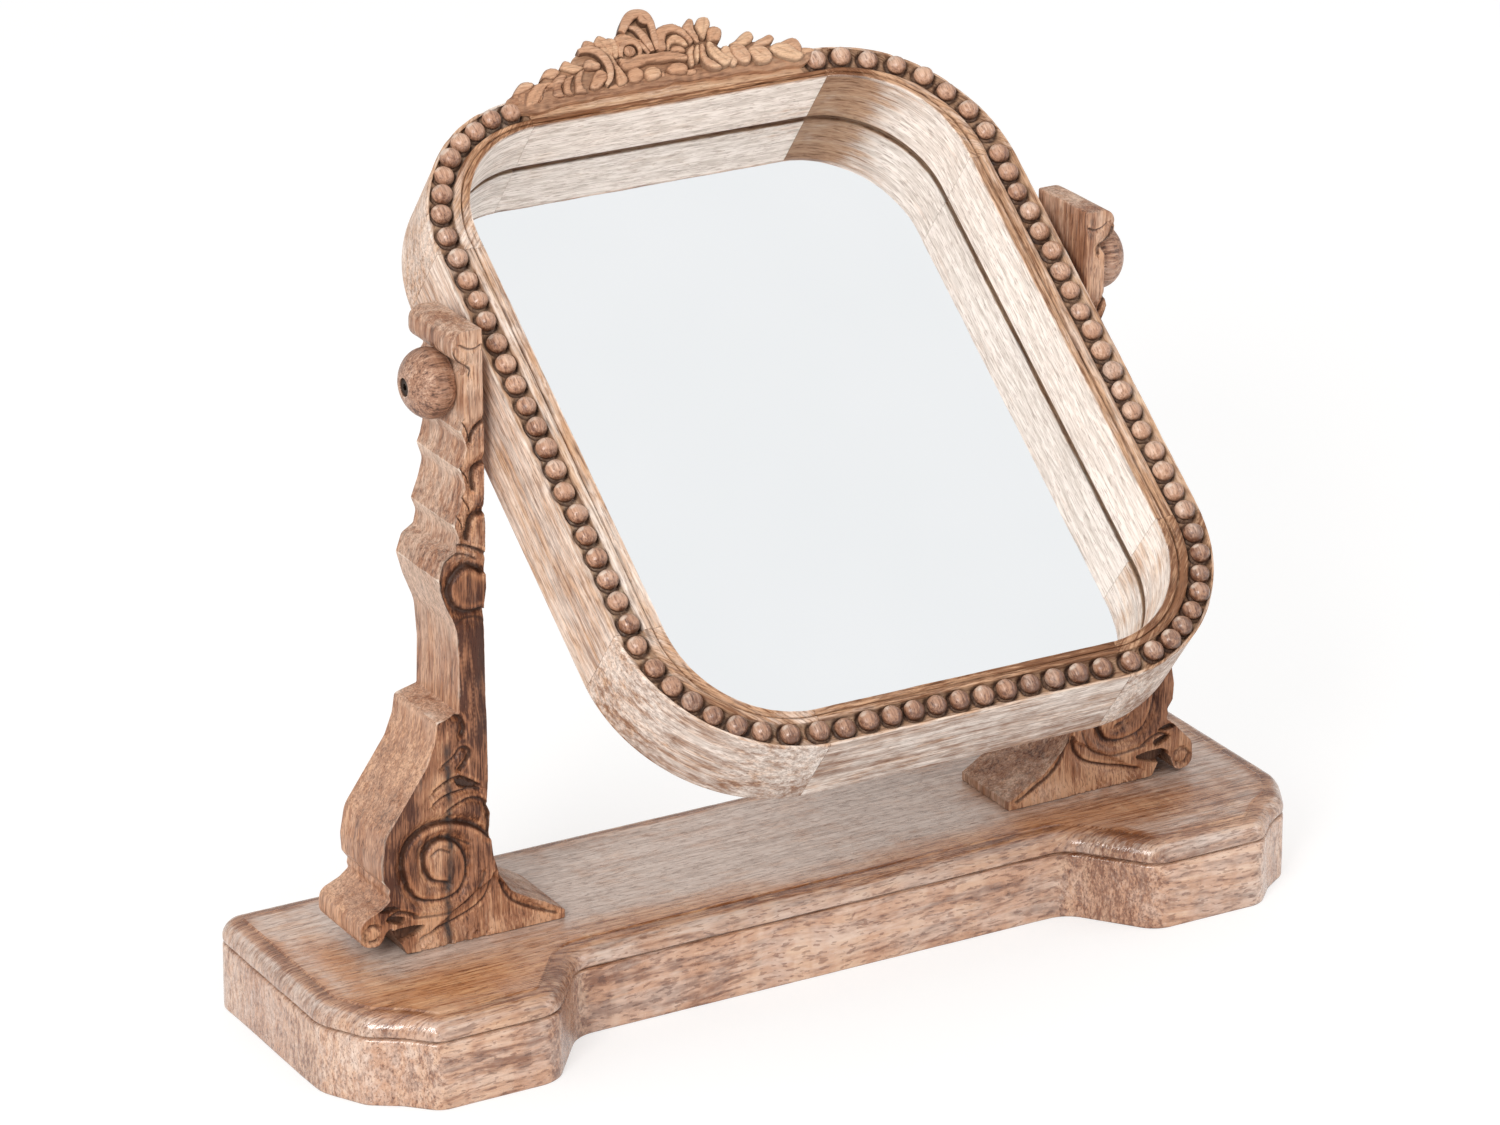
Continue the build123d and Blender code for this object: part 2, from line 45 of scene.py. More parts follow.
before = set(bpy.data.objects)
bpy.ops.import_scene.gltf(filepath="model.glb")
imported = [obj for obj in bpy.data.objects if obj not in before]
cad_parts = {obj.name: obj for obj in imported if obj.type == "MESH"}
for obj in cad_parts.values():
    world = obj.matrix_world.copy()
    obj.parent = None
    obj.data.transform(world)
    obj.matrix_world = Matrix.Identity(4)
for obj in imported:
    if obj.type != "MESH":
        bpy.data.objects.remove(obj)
cad_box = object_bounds()
scene = bpy.context.scene
MM = 0.001

PIVOT_Z = 358.21
TILT = math.radians(52.5)
UPRIGHT_INNER = 182.0
UPRIGHT_FRONT = -23.5
BASE_TOP = 51.0


# Numbers and noise

def srgb(red, green, blue):
    """Colour as it looks on a screen, 0 to 255, in the renderer's linear values."""
    out = []
    for value in (red, green, blue):
        value /= 255.0
        out.append(value / 12.92 if value <= 0.04045 else ((value + 0.055) / 1.055) ** 2.4)
    return (*out, 1.0)


def step_up(low, high, value):
    """0 up to low and 1 from high on, eased between them; with high below low it falls instead."""
    t = np.clip((value - low) / (high - low), 0.0, 1.0)
    return t * t * (3.0 - 2.0 * t)


def bell(value, width):
    """1 where the value is 0, falling to almost 0 at twice the width."""
    return np.exp(-(value / width) ** 2)


def ripple(points, wavelength, seed, waves=9):
    """Smooth noise between about -1 and 1, with lumps of about a wavelength."""
    random = np.random.default_rng(seed)
    points = np.asarray(points, float)
    ways = random.normal(size=(waves, points.shape[1]))
    ways /= np.linalg.norm(ways, axis=1, keepdims=True)
    ways *= 2 * math.pi / wavelength * random.uniform(0.6, 1.5, (waves, 1))
    return np.sin(points @ ways.T + random.uniform(0, 2 * math.pi, waves)).sum(1) / (0.5 * waves)


def curve_through(points, step, closed=False):
    """Smooth line through points, sampled about every step."""
    points = np.asarray(points, float)
    if closed:
        padded = np.vstack([points[-1], points, points[0], points[1]])
    else:
        padded = np.vstack([2 * points[0] - points[1], points, 2 * points[-1] - points[-2]])
    out = []
    for n in range(1, len(padded) - 2):
        a, b, c, d = padded[n - 1:n + 3]
        count = max(2, int(np.linalg.norm(c - b) / step))
        for t in np.arange(count) / count:
            out.append(0.5 * (2 * b + (c - a) * t + (2 * a - 5 * b + 4 * c - d) * t ** 2
                              + (3 * b - a - 3 * c + d) * t ** 3))
    if not closed:
        out.append(points[-1])
    return np.array(out)


CHUNK = 4000


def offsets(points, line):
    """Offsets from 2-D points to a line's samples, for some of the points at a time."""
    for start in range(0, len(points), CHUNK):
        part = slice(start, start + CHUNK)
        yield part, points[part, None, :] - line[None, :, :]


def near(points, line):
    """Distance from each 2-D point to the nearest sample of a line."""
    out = np.empty(len(points))
    for part, away in offsets(np.asarray(points, float), line):
        out[part] = np.sqrt((away ** 2).sum(2)).min(1)
    return out


def beside(points, line):
    """Distance from each 2-D point to a line of samples, and whether it lies on the line's left."""
    ways = np.gradient(line, axis=0)
    gaps, lefts = np.empty(len(points)), np.empty(len(points), bool)
    for part, away in offsets(points, line):
        square = (away ** 2).sum(2)
        nearest = square.argmin(1)
        offset, way = away[np.arange(len(away)), nearest], ways[nearest]
        gaps[part] = np.sqrt(square.min(1))
        lefts[part] = way[:, 0] * offset[:, 1] - way[:, 1] * offset[:, 0] > 0
    return gaps, lefts


def inside(points, ring):
    """True for each 2-D point within a closed line."""
    x, y = points[:, 0:1], points[:, 1:2]
    ax, ay = ring[:, 0][None], ring[:, 1][None]
    bx, by = np.roll(ring[:, 0], -1)[None], np.roll(ring[:, 1], -1)[None]
    rising = (ay > y) != (by > y)
    with np.errstate(divide="ignore", invalid="ignore"):
        crossing = x < (bx - ax) * (y - ay) / (by - ay) + ax
    return ((rising & crossing).sum(1) % 2) == 1


EDGE_SHARE = 0.49     # of an edge, the most that one fillet takes


def rounded_line(points, step):
    """Closed line of (x, y, fillet radius), as samples and their outward normals."""
    corners = np.array([(x, y) for x, y, _ in points], float)
    count = len(corners)
    area = sum(corners[n][0] * corners[(n + 1) % count][1] - corners[(n + 1) % count][0] * corners[n][1]
               for n in range(count))
    turn_sign = 1.0 if area > 0 else -1.0
    arcs = []
    for n in range(count):
        here, radius = corners[n], points[n][2]
        before = here - corners[n - 1]
        after = corners[(n + 1) % count] - here
        long_before, long_after = np.linalg.norm(before), np.linalg.norm(after)
        before, after = before / long_before, after / long_after
        turn = math.atan2(before[0] * after[1] - before[1] * after[0], before @ after)
        reach = min(abs(radius * math.tan(turn / 2)), EDGE_SHARE * long_before, EDGE_SHARE * long_after)
        if abs(turn) < 1e-3 or radius <= 0:
            middle = before + after
            middle /= np.linalg.norm(middle)
            arcs.append([(here, np.array([middle[1], -middle[0]]) * turn_sign)])
            continue
        radius = reach / abs(math.tan(turn / 2))
        start = here - before * reach
        side = np.array([-before[1], before[0]]) * math.copysign(1.0, turn)
        centre = start + side * radius
        pieces = max(2, int(abs(turn) * max(radius, 0.5 * step) / step) + 1)
        arc = []
        for t in np.linspace(0.0, turn, pieces + 1):
            way = np.array([before[0] * math.cos(t) - before[1] * math.sin(t),
                            before[0] * math.sin(t) + before[1] * math.cos(t)])
            outward = np.array([way[1], -way[0]]) * turn_sign
            spot = centre - np.array([-way[1], way[0]]) * math.copysign(radius, turn)
            arc.append((spot, outward))
        arcs.append(arc)
    spots, normals = [], []
    for n, arc in enumerate(arcs):
        for spot, outward in arc:
            spots.append(spot)
            normals.append(outward)
        end, start = arc[-1], arcs[(n + 1) % count][0]
        gap = np.linalg.norm(start[0] - end[0])
        fill = int(gap / step)
        for k in range(1, fill + 1):
            t = k / (fill + 1)
            spots.append(end[0] + (start[0] - end[0]) * t)
            blend = end[1] * (1 - t) + start[1] * t
            normals.append(blend / np.linalg.norm(blend))
    return np.array(spots), np.array(normals)


# Materials

MIX_A, MIX_B, MIX_COLOR = 6, 7, 2     # the colour sockets of a mix node


class Nodes:
    """Short names for the nodes of a new material or world."""

    def __init__(self, owner):
        owner.use_nodes = True
        self.owner, self.tree = owner, owner.node_tree
        self.tree.nodes.clear()

    def new(self, kind):
        return self.tree.nodes.new(kind)

    def put(self, socket, value):
        if isinstance(value, bpy.types.NodeSocket):
            self.tree.links.new(value, socket)
        else:
            socket.default_value = value

    def fill(self, node, *values):
        """First output of a node whose first inputs get these values or links."""
        for socket, value in zip(node.inputs, values):
            self.put(socket, value)
        return node.outputs[0] if node.outputs else None

    def attribute(self, name, vector=False):
        node = self.new("ShaderNodeAttribute")
        node.attribute_name = name
        return node.outputs["Vector" if vector else "Fac"]

    def place(self):
        return self.new("ShaderNodeTexCoord").outputs["Object"]

    def scaled(self, vector, scale, shift=(0.0, 0.0, 0.0)):
        node = self.new("ShaderNodeMapping")
        self.put(node.inputs["Vector"], vector)
        node.inputs["Scale"].default_value = scale
        node.inputs["Location"].default_value = shift
        return node.outputs[0]

    def noise(self, vector, detail=3.0, rough=0.55, warp=0.0, color=False):
        node = self.new("ShaderNodeTexNoise")
        self.put(node.inputs["Vector"], vector)
        node.inputs["Scale"].default_value = 1.0
        node.inputs["Detail"].default_value = detail
        node.inputs["Roughness"].default_value = rough
        node.inputs["Distortion"].default_value = warp
        return node.outputs["Color" if color else "Fac"]

    def math(self, kind, a, b=0.0, c=0.0):
        node = self.new("ShaderNodeMath")
        node.operation = kind
        return self.fill(node, a, b, c)

    def plus(self, a, b):
        return self.math("ADD", a, b)

    def times(self, a, b):
        return self.math("MULTIPLY", a, b)

    def times_plus(self, value, gain, shift):
        return self.math("MULTIPLY_ADD", value, gain, shift)

    def centred(self, value, gain):
        return self.times(self.math("SUBTRACT", value, 0.5), gain)

    def vector(self, kind, a, b):
        node = self.new("ShaderNodeVectorMath")
        node.operation = kind
        return self.fill(node, a, b)

    def between(self, value, low, high, to_low=0.0, to_high=1.0):
        node = self.new("ShaderNodeMapRange")
        node.interpolation_type = "SMOOTHSTEP"
        return self.fill(node, value, low, high, to_low, to_high)

    def mix(self, factor, a, b, kind="MIX"):
        node = self.new("ShaderNodeMix")
        node.data_type = "RGBA"
        node.blend_type = kind
        self.put(node.inputs[0], factor)
        self.put(node.inputs[MIX_A], a)
        self.put(node.inputs[MIX_B], b)
        return node.outputs[MIX_COLOR]


class Finish(Nodes):
    """Nodes of one material, round its principled shader."""

    def __init__(self, name):
        super().__init__(bpy.data.materials.new(name))
        self.shader = self.new("ShaderNodeBsdfPrincipled")
        self.fill(self.new("ShaderNodeOutputMaterial"), self.shader.outputs[0])

    def surface(self, color, roughness):
        self.put(self.shader.inputs["Base Color"], color)
        self.put(self.shader.inputs["Roughness"], roughness)

    def bump(self, height, strength, distance):
        node = self.new("ShaderNodeBump")
        self.put(node.inputs["Height"], height)
        node.inputs["Strength"].default_value = strength
        node.inputs["Distance"].default_value = distance
        self.tree.links.new(node.outputs[0], self.shader.inputs["Normal"])


def wood(name, dark, middle, light, limewash, *, cover, contrast=1.0, figure=0.0, dashes=1.0,
         blotches=0.9, rough=0.55, shine=0.4):
    """Grained wood under a limewash. Point attributes say how the grain runs, where the wash lies, where dirt
    and painted shade darken it, where stain has settled, where it is pale on arrises and with painted
    highlights, and how light and how yellow the wood is."""
    n = Finish(name)
    dark, middle, light, limewash = (srgb(*color) for color in (dark, middle, light, limewash))
    # Grain, from broad bands to single fibres, drawn out along the attribute's first axis
    grain = n.attribute("grain", vector=True)
    wander = n.noise(n.scaled(grain, (7, 22, 22)), color=True, detail=2)
    wander = n.vector("SUBTRACT", wander, (0.5, 0.5, 0.5))
    grain = n.vector("ADD", grain, n.vector("MULTIPLY", wander, (0.0, 0.009, 0.009)))
    broad = n.noise(n.scaled(grain, (4, 36, 36), (0.3, 0.1, 0.7)), detail=3)
    streak = n.noise(n.scaled(grain, (11, 330, 270)), detail=5, rough=0.68)
    fibre = n.noise(n.scaled(grain, (85, 980, 800), (0.7, 0.2, 0.5)), detail=2.5, rough=0.6)
    mottle = n.noise(n.scaled(grain, (60, 95, 95), (0.2, 0.8, 0.4)), detail=4, rough=0.62, warp=0.3)
    pores = n.between(n.noise(n.scaled(grain, (150, 1500, 1300), (0.5, 0.2, 0.1)), detail=1.5), 0.585, 0.64)
    strands = n.noise(n.scaled(grain, (12, 330, 300), (0.2, 0.6, 0.9)), detail=4, rough=0.7)
    strands = n.between(strands, 0.42, 0.60)
    # Bare wood
    tone = n.plus(n.centred(streak, 0.42 * contrast), n.centred(fibre, 0.40 * contrast))
    tone = n.plus(tone, n.centred(broad, 0.46 * blotches))
    tone = n.plus(tone, n.centred(n.attribute("tone"), 0.5))
    color = n.mix(n.between(tone, -0.16, 0.015), dark, middle)
    color = n.mix(n.between(tone, 0.0, 0.17), color, light)
    if figure:
        waves = n.noise(n.scaled(grain, (52, 16, 16), (0.1, 0.4, 0.2)), detail=2, warp=0.7)
        flicks = n.times(n.between(waves, 0.46, 0.60), n.between(streak, 0.42, 0.60))
        color = n.mix(n.times(flicks, figure), color, light)
    # Limewash over it
    laid = n.plus(n.attribute("wash"), n.times_plus(mottle, 0.9, -0.45))
    laid = n.plus(laid, n.times_plus(broad, blotches, -0.5 * blotches))
    laid = n.between(n.plus(laid, n.times_plus(strands, -0.24, 0.12)), 0.15, 0.95)
    shade = n.mix(n.between(n.plus(fibre, streak), 0.80, 1.18), (0.76, 0.73, 0.70, 1), (1.08, 1.08, 1.08, 1))
    washed = n.mix(1.0, limewash, shade, kind="MULTIPLY")
    if figure:
        washed = n.mix(n.times(flicks, 0.6 * figure), washed, srgb(236, 224, 215))
    bare = n.mix(1.0, color, (1.05, 0.85, 0.60, 1), kind="MULTIPLY")
    color = n.mix(n.times(laid, cover), color, washed)
    # Yellowed wood, open pores, dirt and painted shade, stain, and pale edges with painted highlights
    amber = n.attribute("amber")
    color = n.mix(n.times(amber, n.between(mottle, 0.25, 0.6, 0.7, 1.0)), color, bare)
    color = n.mix(n.times(pores, 0.62 * dashes), color, n.mix(0.62, color, dark, kind="MULTIPLY"))
    # Painted shade: cuts, grooves, hollows and the sides under forms are mixed towards dark brown, with some
    # dirt among it
    dirt = n.times(n.attribute("dirt"), n.between(mottle, 0.2, 0.6, 0.75, 1.0))
    color = n.mix(dirt, color, srgb(62, 38, 26))
    stain = n.times(n.attribute("stain"), n.between(n.plus(mottle, fibre), 0.7, 1.1, 0.6, 1.0))
    color = n.mix(stain, color, srgb(54, 45, 43))
    # Pale arrises, and painted highlights on beads, ridges and the tops of forms, mixed towards cream
    mark_mask = n.plus(n.attribute("pale"), n.times_plus(mottle, 1.1, -0.66))
    color = n.mix(n.between(mark_mask, 0.25, 0.75, 0.0, 0.85), color, srgb(238, 220, 203))
    polish = n.math("SUBTRACT", mottle, n.times_plus(amber, -0.2, n.times(pores, 0.2)))
    n.surface(color, n.between(polish, 0.25, 0.75, rough + 0.12, rough - 0.10))
    n.shader.inputs["Specular IOR Level"].default_value = shine
    n.bump(n.plus(n.times_plus(pores, -0.9, n.times(fibre, 1.1)), streak), 0.6, 0.0003)
    return n.owner


def plain_metal(name, color, rough):
    n = Finish(name)
    place = n.place()
    brushed = n.noise(n.scaled(place, (900, 2600, 2600)))
    darkening = n.between(n.noise(n.scaled(place, (260, 260, 260))), 0.35, 0.7)
    n.surface(n.mix(n.times(darkening, 0.45), srgb(*color), srgb(92, 84, 76)),
              n.between(brushed, 0.2, 0.8, rough - 0.08, rough + 0.16))
    n.shader.inputs["Metallic"].default_value = 1.0
    n.bump(brushed, 0.25, 0.00008)
    return n.owner


def mirror_plate():
    n = Finish("mirror_plate")
    haze = n.noise(n.scaled(n.place(), (9, 9, 9)), detail=2)
    n.surface(n.mix(haze, srgb(243, 245, 246), srgb(248, 249, 250)), n.between(haze, 0.3, 0.7, 0.012, 0.03))
    n.shader.inputs["Metallic"].default_value = 1.0
    return n.owner


def plain_wood(name, scale, dark, middle, light):
    """Wood for solids that carry no point attributes."""
    n = Finish(name)
    place = n.place()
    bands = n.noise(n.scaled(place, tuple(140 * s for s in scale)), detail=4, rough=0.6)
    fibre = n.noise(n.scaled(place, tuple(1300 * s for s in scale)), rough=0.6)
    tone = n.plus(n.times(bands, 0.6), n.times(fibre, 0.4))
    color = n.mix(n.between(tone, 0.3, 0.55), srgb(*dark), srgb(*middle))
    n.surface(n.mix(n.between(tone, 0.5, 0.75), color, srgb(*light)), n.between(bands, 0.3, 0.7, 0.78, 0.62))
    n.bump(fibre, 0.5, 0.0002)
    return n.owner


base_wood = wood("base_wood", (134, 88, 62), (200, 156, 128), (230, 198, 172), (224, 208, 198),
                 cover=0.88, contrast=1.15, figure=0.5, dashes=1.3, blotches=0.5, rough=0.22, shine=0.9)
post_wood = wood("post_wood", (84, 48, 33), (160, 112, 84), (208, 164, 132), (226, 200, 180),
                 cover=0.78, contrast=1.2, rough=0.5)
frame_wood = wood("frame_wood", (136, 92, 62), (208, 166, 132), (238, 208, 176), (250, 240, 232),
                  cover=0.94, contrast=1.1, blotches=0.7)
bead_wood = wood("bead_wood", (118, 76, 54), (188, 142, 114), (222, 182, 154), (226, 202, 186),
                 cover=0.7, contrast=1.1, dashes=1.2, rough=0.32, shine=0.75)
crest_wood = wood("crest_wood", (140, 94, 66), (202, 156, 124), (228, 190, 156), (228, 198, 174),
                  cover=0.6, contrast=0.8, dashes=0.6, rough=0.46)
knob_wood = wood("knob_wood", (92, 58, 42), (166, 122, 96), (206, 168, 142), (220, 198, 184),
                 cover=0.6, dashes=1.3, contrast=1.3, rough=0.40, shine=0.55)
# Dark steel for the pivot screws, darkened as painted shade at the bottom of the knobs' bores
dark_steel = plain_metal("dark_steel", (58, 44, 36), 0.5)
steel = plain_metal("zinc_plated_steel", (176, 176, 172), 0.36)
brass = plain_metal("brass", (196, 158, 92), 0.34)
plate = mirror_plate()
board_wood = plain_wood("back_board", (0.06, 1.0, 1.0), (108, 82, 60), (142, 110, 82), (168, 136, 106))
dowel_wood = plain_wood("dowel_wood", (1.0, 1.0, 0.08), (150, 116, 80), (190, 156, 116), (214, 184, 146))


def linked(name, data):
    """New object in the scene."""
    piece = bpy.data.objects.new(name, data)
    scene.collection.objects.link(piece)
    return piece


# Meshes, and what their point attributes say where nothing else is given

# Of these fields, one darkens the wood, mostly as painted shade with some dirt, and one pales it, on arrises
# and as painted highlights
FIELDS = {"wash": 0.0, "dirt": 0.0, "pale": 0.0, "stain": 0.0, "tone": 0.5, "amber": 0.0}


class Shape:
    """Points, faces and point attributes of one piece, gathered before it becomes an object."""

    def __init__(self):
        self.points, self.grain, self.faces, self.shades = [], [], [], []
        self.fields = {name: [] for name in FIELDS}
        self.count = 0

    def add(self, points, faces, grain, shade=0, **fields):
        points = np.asarray(points, float)
        self.faces += [[index + self.count for index in face] for face in faces]
        self.shades += [shade] * len(faces)
        self.points.append(points)
        self.grain.append(np.asarray(grain, float))
        for name in FIELDS:
            value = fields.get(name, FIELDS[name])
            self.fields[name].append(np.broadcast_to(np.asarray(value, float), (len(points),)))
        self.count += len(points)

    def build(self, name, materials, body, nodes, crease=38.0):
        """The piece, which rides on a body and stands in for nodes; edges sharper than crease stay sharp."""
        mesh = bpy.data.meshes.new(name)
        mesh.from_pydata((np.vstack(self.points) * MM).tolist(), [], self.faces)
        for field in FIELDS:
            layer = mesh.attributes.new(field, "FLOAT", "POINT")
            layer.data.foreach_set("value", np.clip(np.concatenate(self.fields[field]), 0, 1))
        layer = mesh.attributes.new("grain", "FLOAT_VECTOR", "POINT")
        layer.data.foreach_set("vector", (np.vstack(self.grain) * MM).ravel())
        mesh.polygons.foreach_set("material_index", self.shades)
        work = bmesh.new()
        work.from_mesh(mesh)
        bmesh.ops.recalc_face_normals(work, faces=work.faces)
        work.to_mesh(mesh)
        work.free()
        mesh.polygons.foreach_set("use_smooth", [True] * len(mesh.polygons))
        mesh.set_sharp_from_angle(angle=math.radians(crease))
        for material in materials:
            mesh.materials.append(material)
        piece = linked(name, mesh)
        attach(piece, body)
        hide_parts(*nodes)


def ring_faces(rows, columns, closed=True):
    """Quads between rows of points, each row running the same way."""
    return [(row * columns + column, row * columns + (column + 1) % columns,
             (row + 1) * columns + (column + 1) % columns, (row + 1) * columns + column)
            for row in range(rows - 1) for column in range(columns if closed else columns - 1)]


def skirt(count, total):
    """Quads from a rim of the first points down to a second rim that follows after all points."""
    return [(n, (n + 1) % count, total + (n + 1) % count, total + n) for n in range(count)]


def filled(ring, spacing, fine=None, lines=None):
    """Flat triangles inside a closed 2-D line: its own points first, then a grid, finer near given lines."""
    low, high = ring.min(0), ring.max(0)

    def grid(pitch):
        xs = np.arange(low[0] + pitch, high[0], pitch)
        ys = np.arange(low[1] + pitch, high[1], pitch * 0.87)
        found = np.array([(x + (row % 2) * pitch / 2, y) for row, y in enumerate(ys) for x in xs])
        found = found[inside(found, ring)]
        return found[near(found, ring) > 0.55 * pitch]

    extra = grid(spacing)
    if fine:
        small = grid(fine)
        reach = 2.2 * spacing
        small = small[near(small, lines) < reach]
        far = near(extra, lines) > reach + 0.3 * spacing
        extra = np.vstack([extra[far], small])
    points = [Vector(point) for point in np.vstack([ring, extra])]
    places, _, faces, source, _, _ = geometry.delaunay_2d_cdt(points, [], [list(range(len(ring)))], 1, 1e-6)
    order = {}
    for new, olds in enumerate(source):
        for old in olds:
            order.setdefault(old, new)
    kept = [order[n] for n in range(len(ring))]
    on_ring = set(kept)
    rest = [n for n in range(len(places)) if n not in on_ring]
    renumber = {new: n for n, new in enumerate(kept + rest)}
    flat = np.vstack([ring, np.array([places[n] for n in rest]).reshape(-1, 2)])
    return flat, [[renumber[index] for index in face] for face in faces]


# Base: sizes, the plan's corners as (cut, step back, fillet), and the boards' edges as (inset, height)

BASE_HALF = 299.5
GROOVE = 38.0     # height of the shadow line between the boards
GRAIN_SCALE = (1.0, 1.0, 0.45)
BLOCK_FRONT = 103.0
BASE_BACK = 75.0
RECESS = 42.0
BLOCK_LENGTH = 114.0
SHOULDER_RUN = 33.0
SHOULDER_FILLET, BACK_FILLET = 20.0, 15.0
CORNER_CUTS = ((45, 0, 14), (30, 15, 20), (14, 25.5, 14), (0, 51, 25))
PLINTH = [(3, 0), (0.9, 0), (0.25, 0.35), (0, 1.2), (0, 12), (0, 24), (0, 36.2), (0.3, 37.2), (1, 37.8),
          (3, 38)]
MOULDING = [(3, 38), (2.2, 38), (2.1, 38.9), (0.9, 39.1), (0.25, 39.6), (0.05, 40.4), (0.1, 42.4),
            (0.7, 44.4), (2, 46.6), (3.9, 48.4), (6.2, 49.5), (8.6, 50.05), (10.4, 50.1), (11.2, 50.2),
            (11.7, 50.75), (12.4, 50.97)]


def base_line():
    """The base's plan: blocks in front at both ends, and a recess with hollow shoulders between them."""
    shoulder = BASE_HALF - BLOCK_LENGTH
    right = [(shoulder - SHOULDER_RUN, RECESS - BLOCK_FRONT, SHOULDER_FILLET),
             (shoulder, -BLOCK_FRONT, SHOULDER_FILLET)]
    right += [(BASE_HALF - cut, back - BLOCK_FRONT, radius) for cut, back, radius in CORNER_CUTS]
    right.append((BASE_HALF, BASE_BACK, BACK_FILLET))
    return rounded_line(right + [(-x, y, radius) for x, y, radius in reversed(right)], 2.0)


def patch(points, middle, size):
    """1 at the middle of an oval patch, falling to 0 at its edge."""
    return bell(np.hypot((points[:, 0] - middle[0]) / size[0], (points[:, 1] - middle[1]) / size[1]), 1.0)


def bare_patches(points):
    """Where hands and feet have rubbed the base's top back to brown wood."""
    worn = 1.15 * patch(points, (-218, -68), (58, 22)) + 0.5 * patch(points, (222, -60), (48, 16))
    worn += 0.75 * patch(points, (120, -46), (95, 13)) + 0.6 * patch(points, (-95, -42), (70, 11))
    worn += 0.5 * patch(points, (-268, -8), (14, 48)) + 0.5 * patch(points, (200, 10), (60, 20))
    return worn


def shoulders(points):
    """1 in the hollow curves beside the recessed front."""
    return bell(np.abs(points[:, 0]) - 168.0, 20.0) * step_up(-50, -66, points[:, 1])


def plinth_sides(points, across, seed):
    """Finish of the lower board's edge, by height, with painted shade under the groove, along the floor and
    round x = -105, and a painted highlight along its top arris; across says how far a face looks to the side.
    """
    heights, hollow = points[:, 2], shoulders(points)
    wash = 0.45 + 0.10 * ripple(points, 90.0, seed + 5) - 0.10 * step_up(10, 0, heights) - 0.25 * hollow
    # Painted shade round x = -105
    tone = 0.46 - 0.04 * step_up(0.75, 0.98, across) - 0.14 * hollow - 0.07 * bell(points[:, 0] + 105.0, 70.0)
    # Painted shade under the groove and along the floor; painted highlight along the top arris
    dirt = 0.35 * bell(heights - GROOVE - 0.2, 0.4) + 0.5 * bell(heights + 0.2, 0.8)
    return {"wash": wash, "tone": tone, "dirt": dirt, "amber": 0.18, "pale": 0.30 * bell(heights - 36.9, 0.7)}


def moulding_sides(points, seed):
    """Finish of the upper board's edge, by height: painted shade in its grooves, brown wood along its arris,
    and a painted highlight along the foot of its roundover.
    """
    heights, hollow, worn = points[:, 2], shoulders(points), bare_patches(points)
    arris = step_up(48.6, 50.1, heights)
    uneven = 0.5 + 0.5 * ripple(points[:, :2], 46.0, seed + 6)
    wash = 0.50 + 0.06 * step_up(42.5, 49.5, heights) - 0.6 * arris - 0.45 * worn - 0.22 * hollow
    wash += 0.16 * ripple(points, 60.0, seed + 5)
    amber = np.clip((0.35 + 0.5 * uneven) * arris + 0.6 * worn, 0, 1)
    amber += 0.45 * bell(heights - 42.0, 3.0) * uneven
    # Painted shade in the groove below and along the quirk at the top; painted highlight at the roundover's
    # foot
    dirt = 0.10 + (0.25 + 0.6 * uneven) * bell(heights - GROOVE - 0.3, 0.45)
    dirt += 0.30 * uneven * bell(heights - 50.2, 0.3)
    return {"wash": wash, "tone": 0.42 - 0.16 * arris * uneven - 0.12 * hollow, "dirt": dirt, "amber": amber,
            "pale": 0.36 * bell(heights - 39.8, 0.5)}


def flat_face(shape, row):
    """Plain face across a board, where the boards meet and underneath."""
    flat, faces = filled(row[:, :2], 40.0)
    shape.add(np.column_stack([flat, np.full(len(flat), row[0, 2])]), faces,
              np.column_stack([flat, np.zeros(len(flat))]) + 5.0, wash=0.15, dirt=0.1)


def worn_top(shape, row, grain_shift, seed):
    """The base's top face: limewashed, and brown in patches and along its edge."""
    ring = row[:, :2]
    flat, faces = filled(ring, 5.0)
    edge, worn = near(flat, ring), bare_patches(flat)
    sag = 0.035 * ripple(flat, 9.0, seed + 3) * step_up(0, 6, edge)
    face = np.column_stack([flat, row[0, 2] + sag - 0.03])
    face[:len(ring)] = row
    mark_mask = bell(edge, 3.2) * (0.6 + 0.4 * ripple(flat, 46.0, seed + 6))
    right = step_up(120, 200, flat[:, 0])
    wash = 0.84 - 0.95 * worn - 0.6 * mark_mask + 0.14 * ripple(flat, 80.0, seed + 9)
    wash += 0.12 * ripple(flat * (1.0, 0.35), 11.0, seed + 14)
    shape.add(face, faces, face * GRAIN_SCALE + grain_shift, wash=wash - 0.20 * right,
              tone=0.56 - 0.07 * worn - 0.18 * mark_mask - 0.10 * right,
              amber=np.clip(1.1 * worn + 0.8 * mark_mask, 0, 1))


def board(node, profile, seed):
    """One of the base's two boards: its moulded edge, and the faces below and above."""
    line, out = base_line()
    rows = [np.column_stack([line - out * inset, np.full(len(line), height)]) for inset, height in profile]
    points, normals = np.vstack(rows), np.vstack([out] * len(profile))
    wave = np.minimum(0.26 * ripple(points, 34.0, seed) - 0.16, 0.0)
    wavy = np.repeat([0.0 if inset > 2.9 or height < 0.3 else 1.0 for inset, height in profile], len(line))
    points[:, :2] += normals * (wave * wavy)[:, None]
    grain_shift = seed * 37.0
    upper = node == "base_top"
    fields = moulding_sides(points, seed) if upper else plinth_sides(points, np.abs(normals[:, 0]), seed)
    shape = Shape()
    shape.add(points, ring_faces(len(profile), len(line)), points * GRAIN_SCALE + grain_shift, **fields)
    flat_face(shape, rows[0])
    if upper:
        worn_top(shape, rows[-1], grain_shift, seed)
    else:
        flat_face(shape, rows[-1])
    shape.build(node + "_board", [base_wood], "stand", [node])


board("base_plinth", PLINTH, 3)
board("base_top", MOULDING, 8)

# Uprights: reach out from the inner face, and height from the pivots

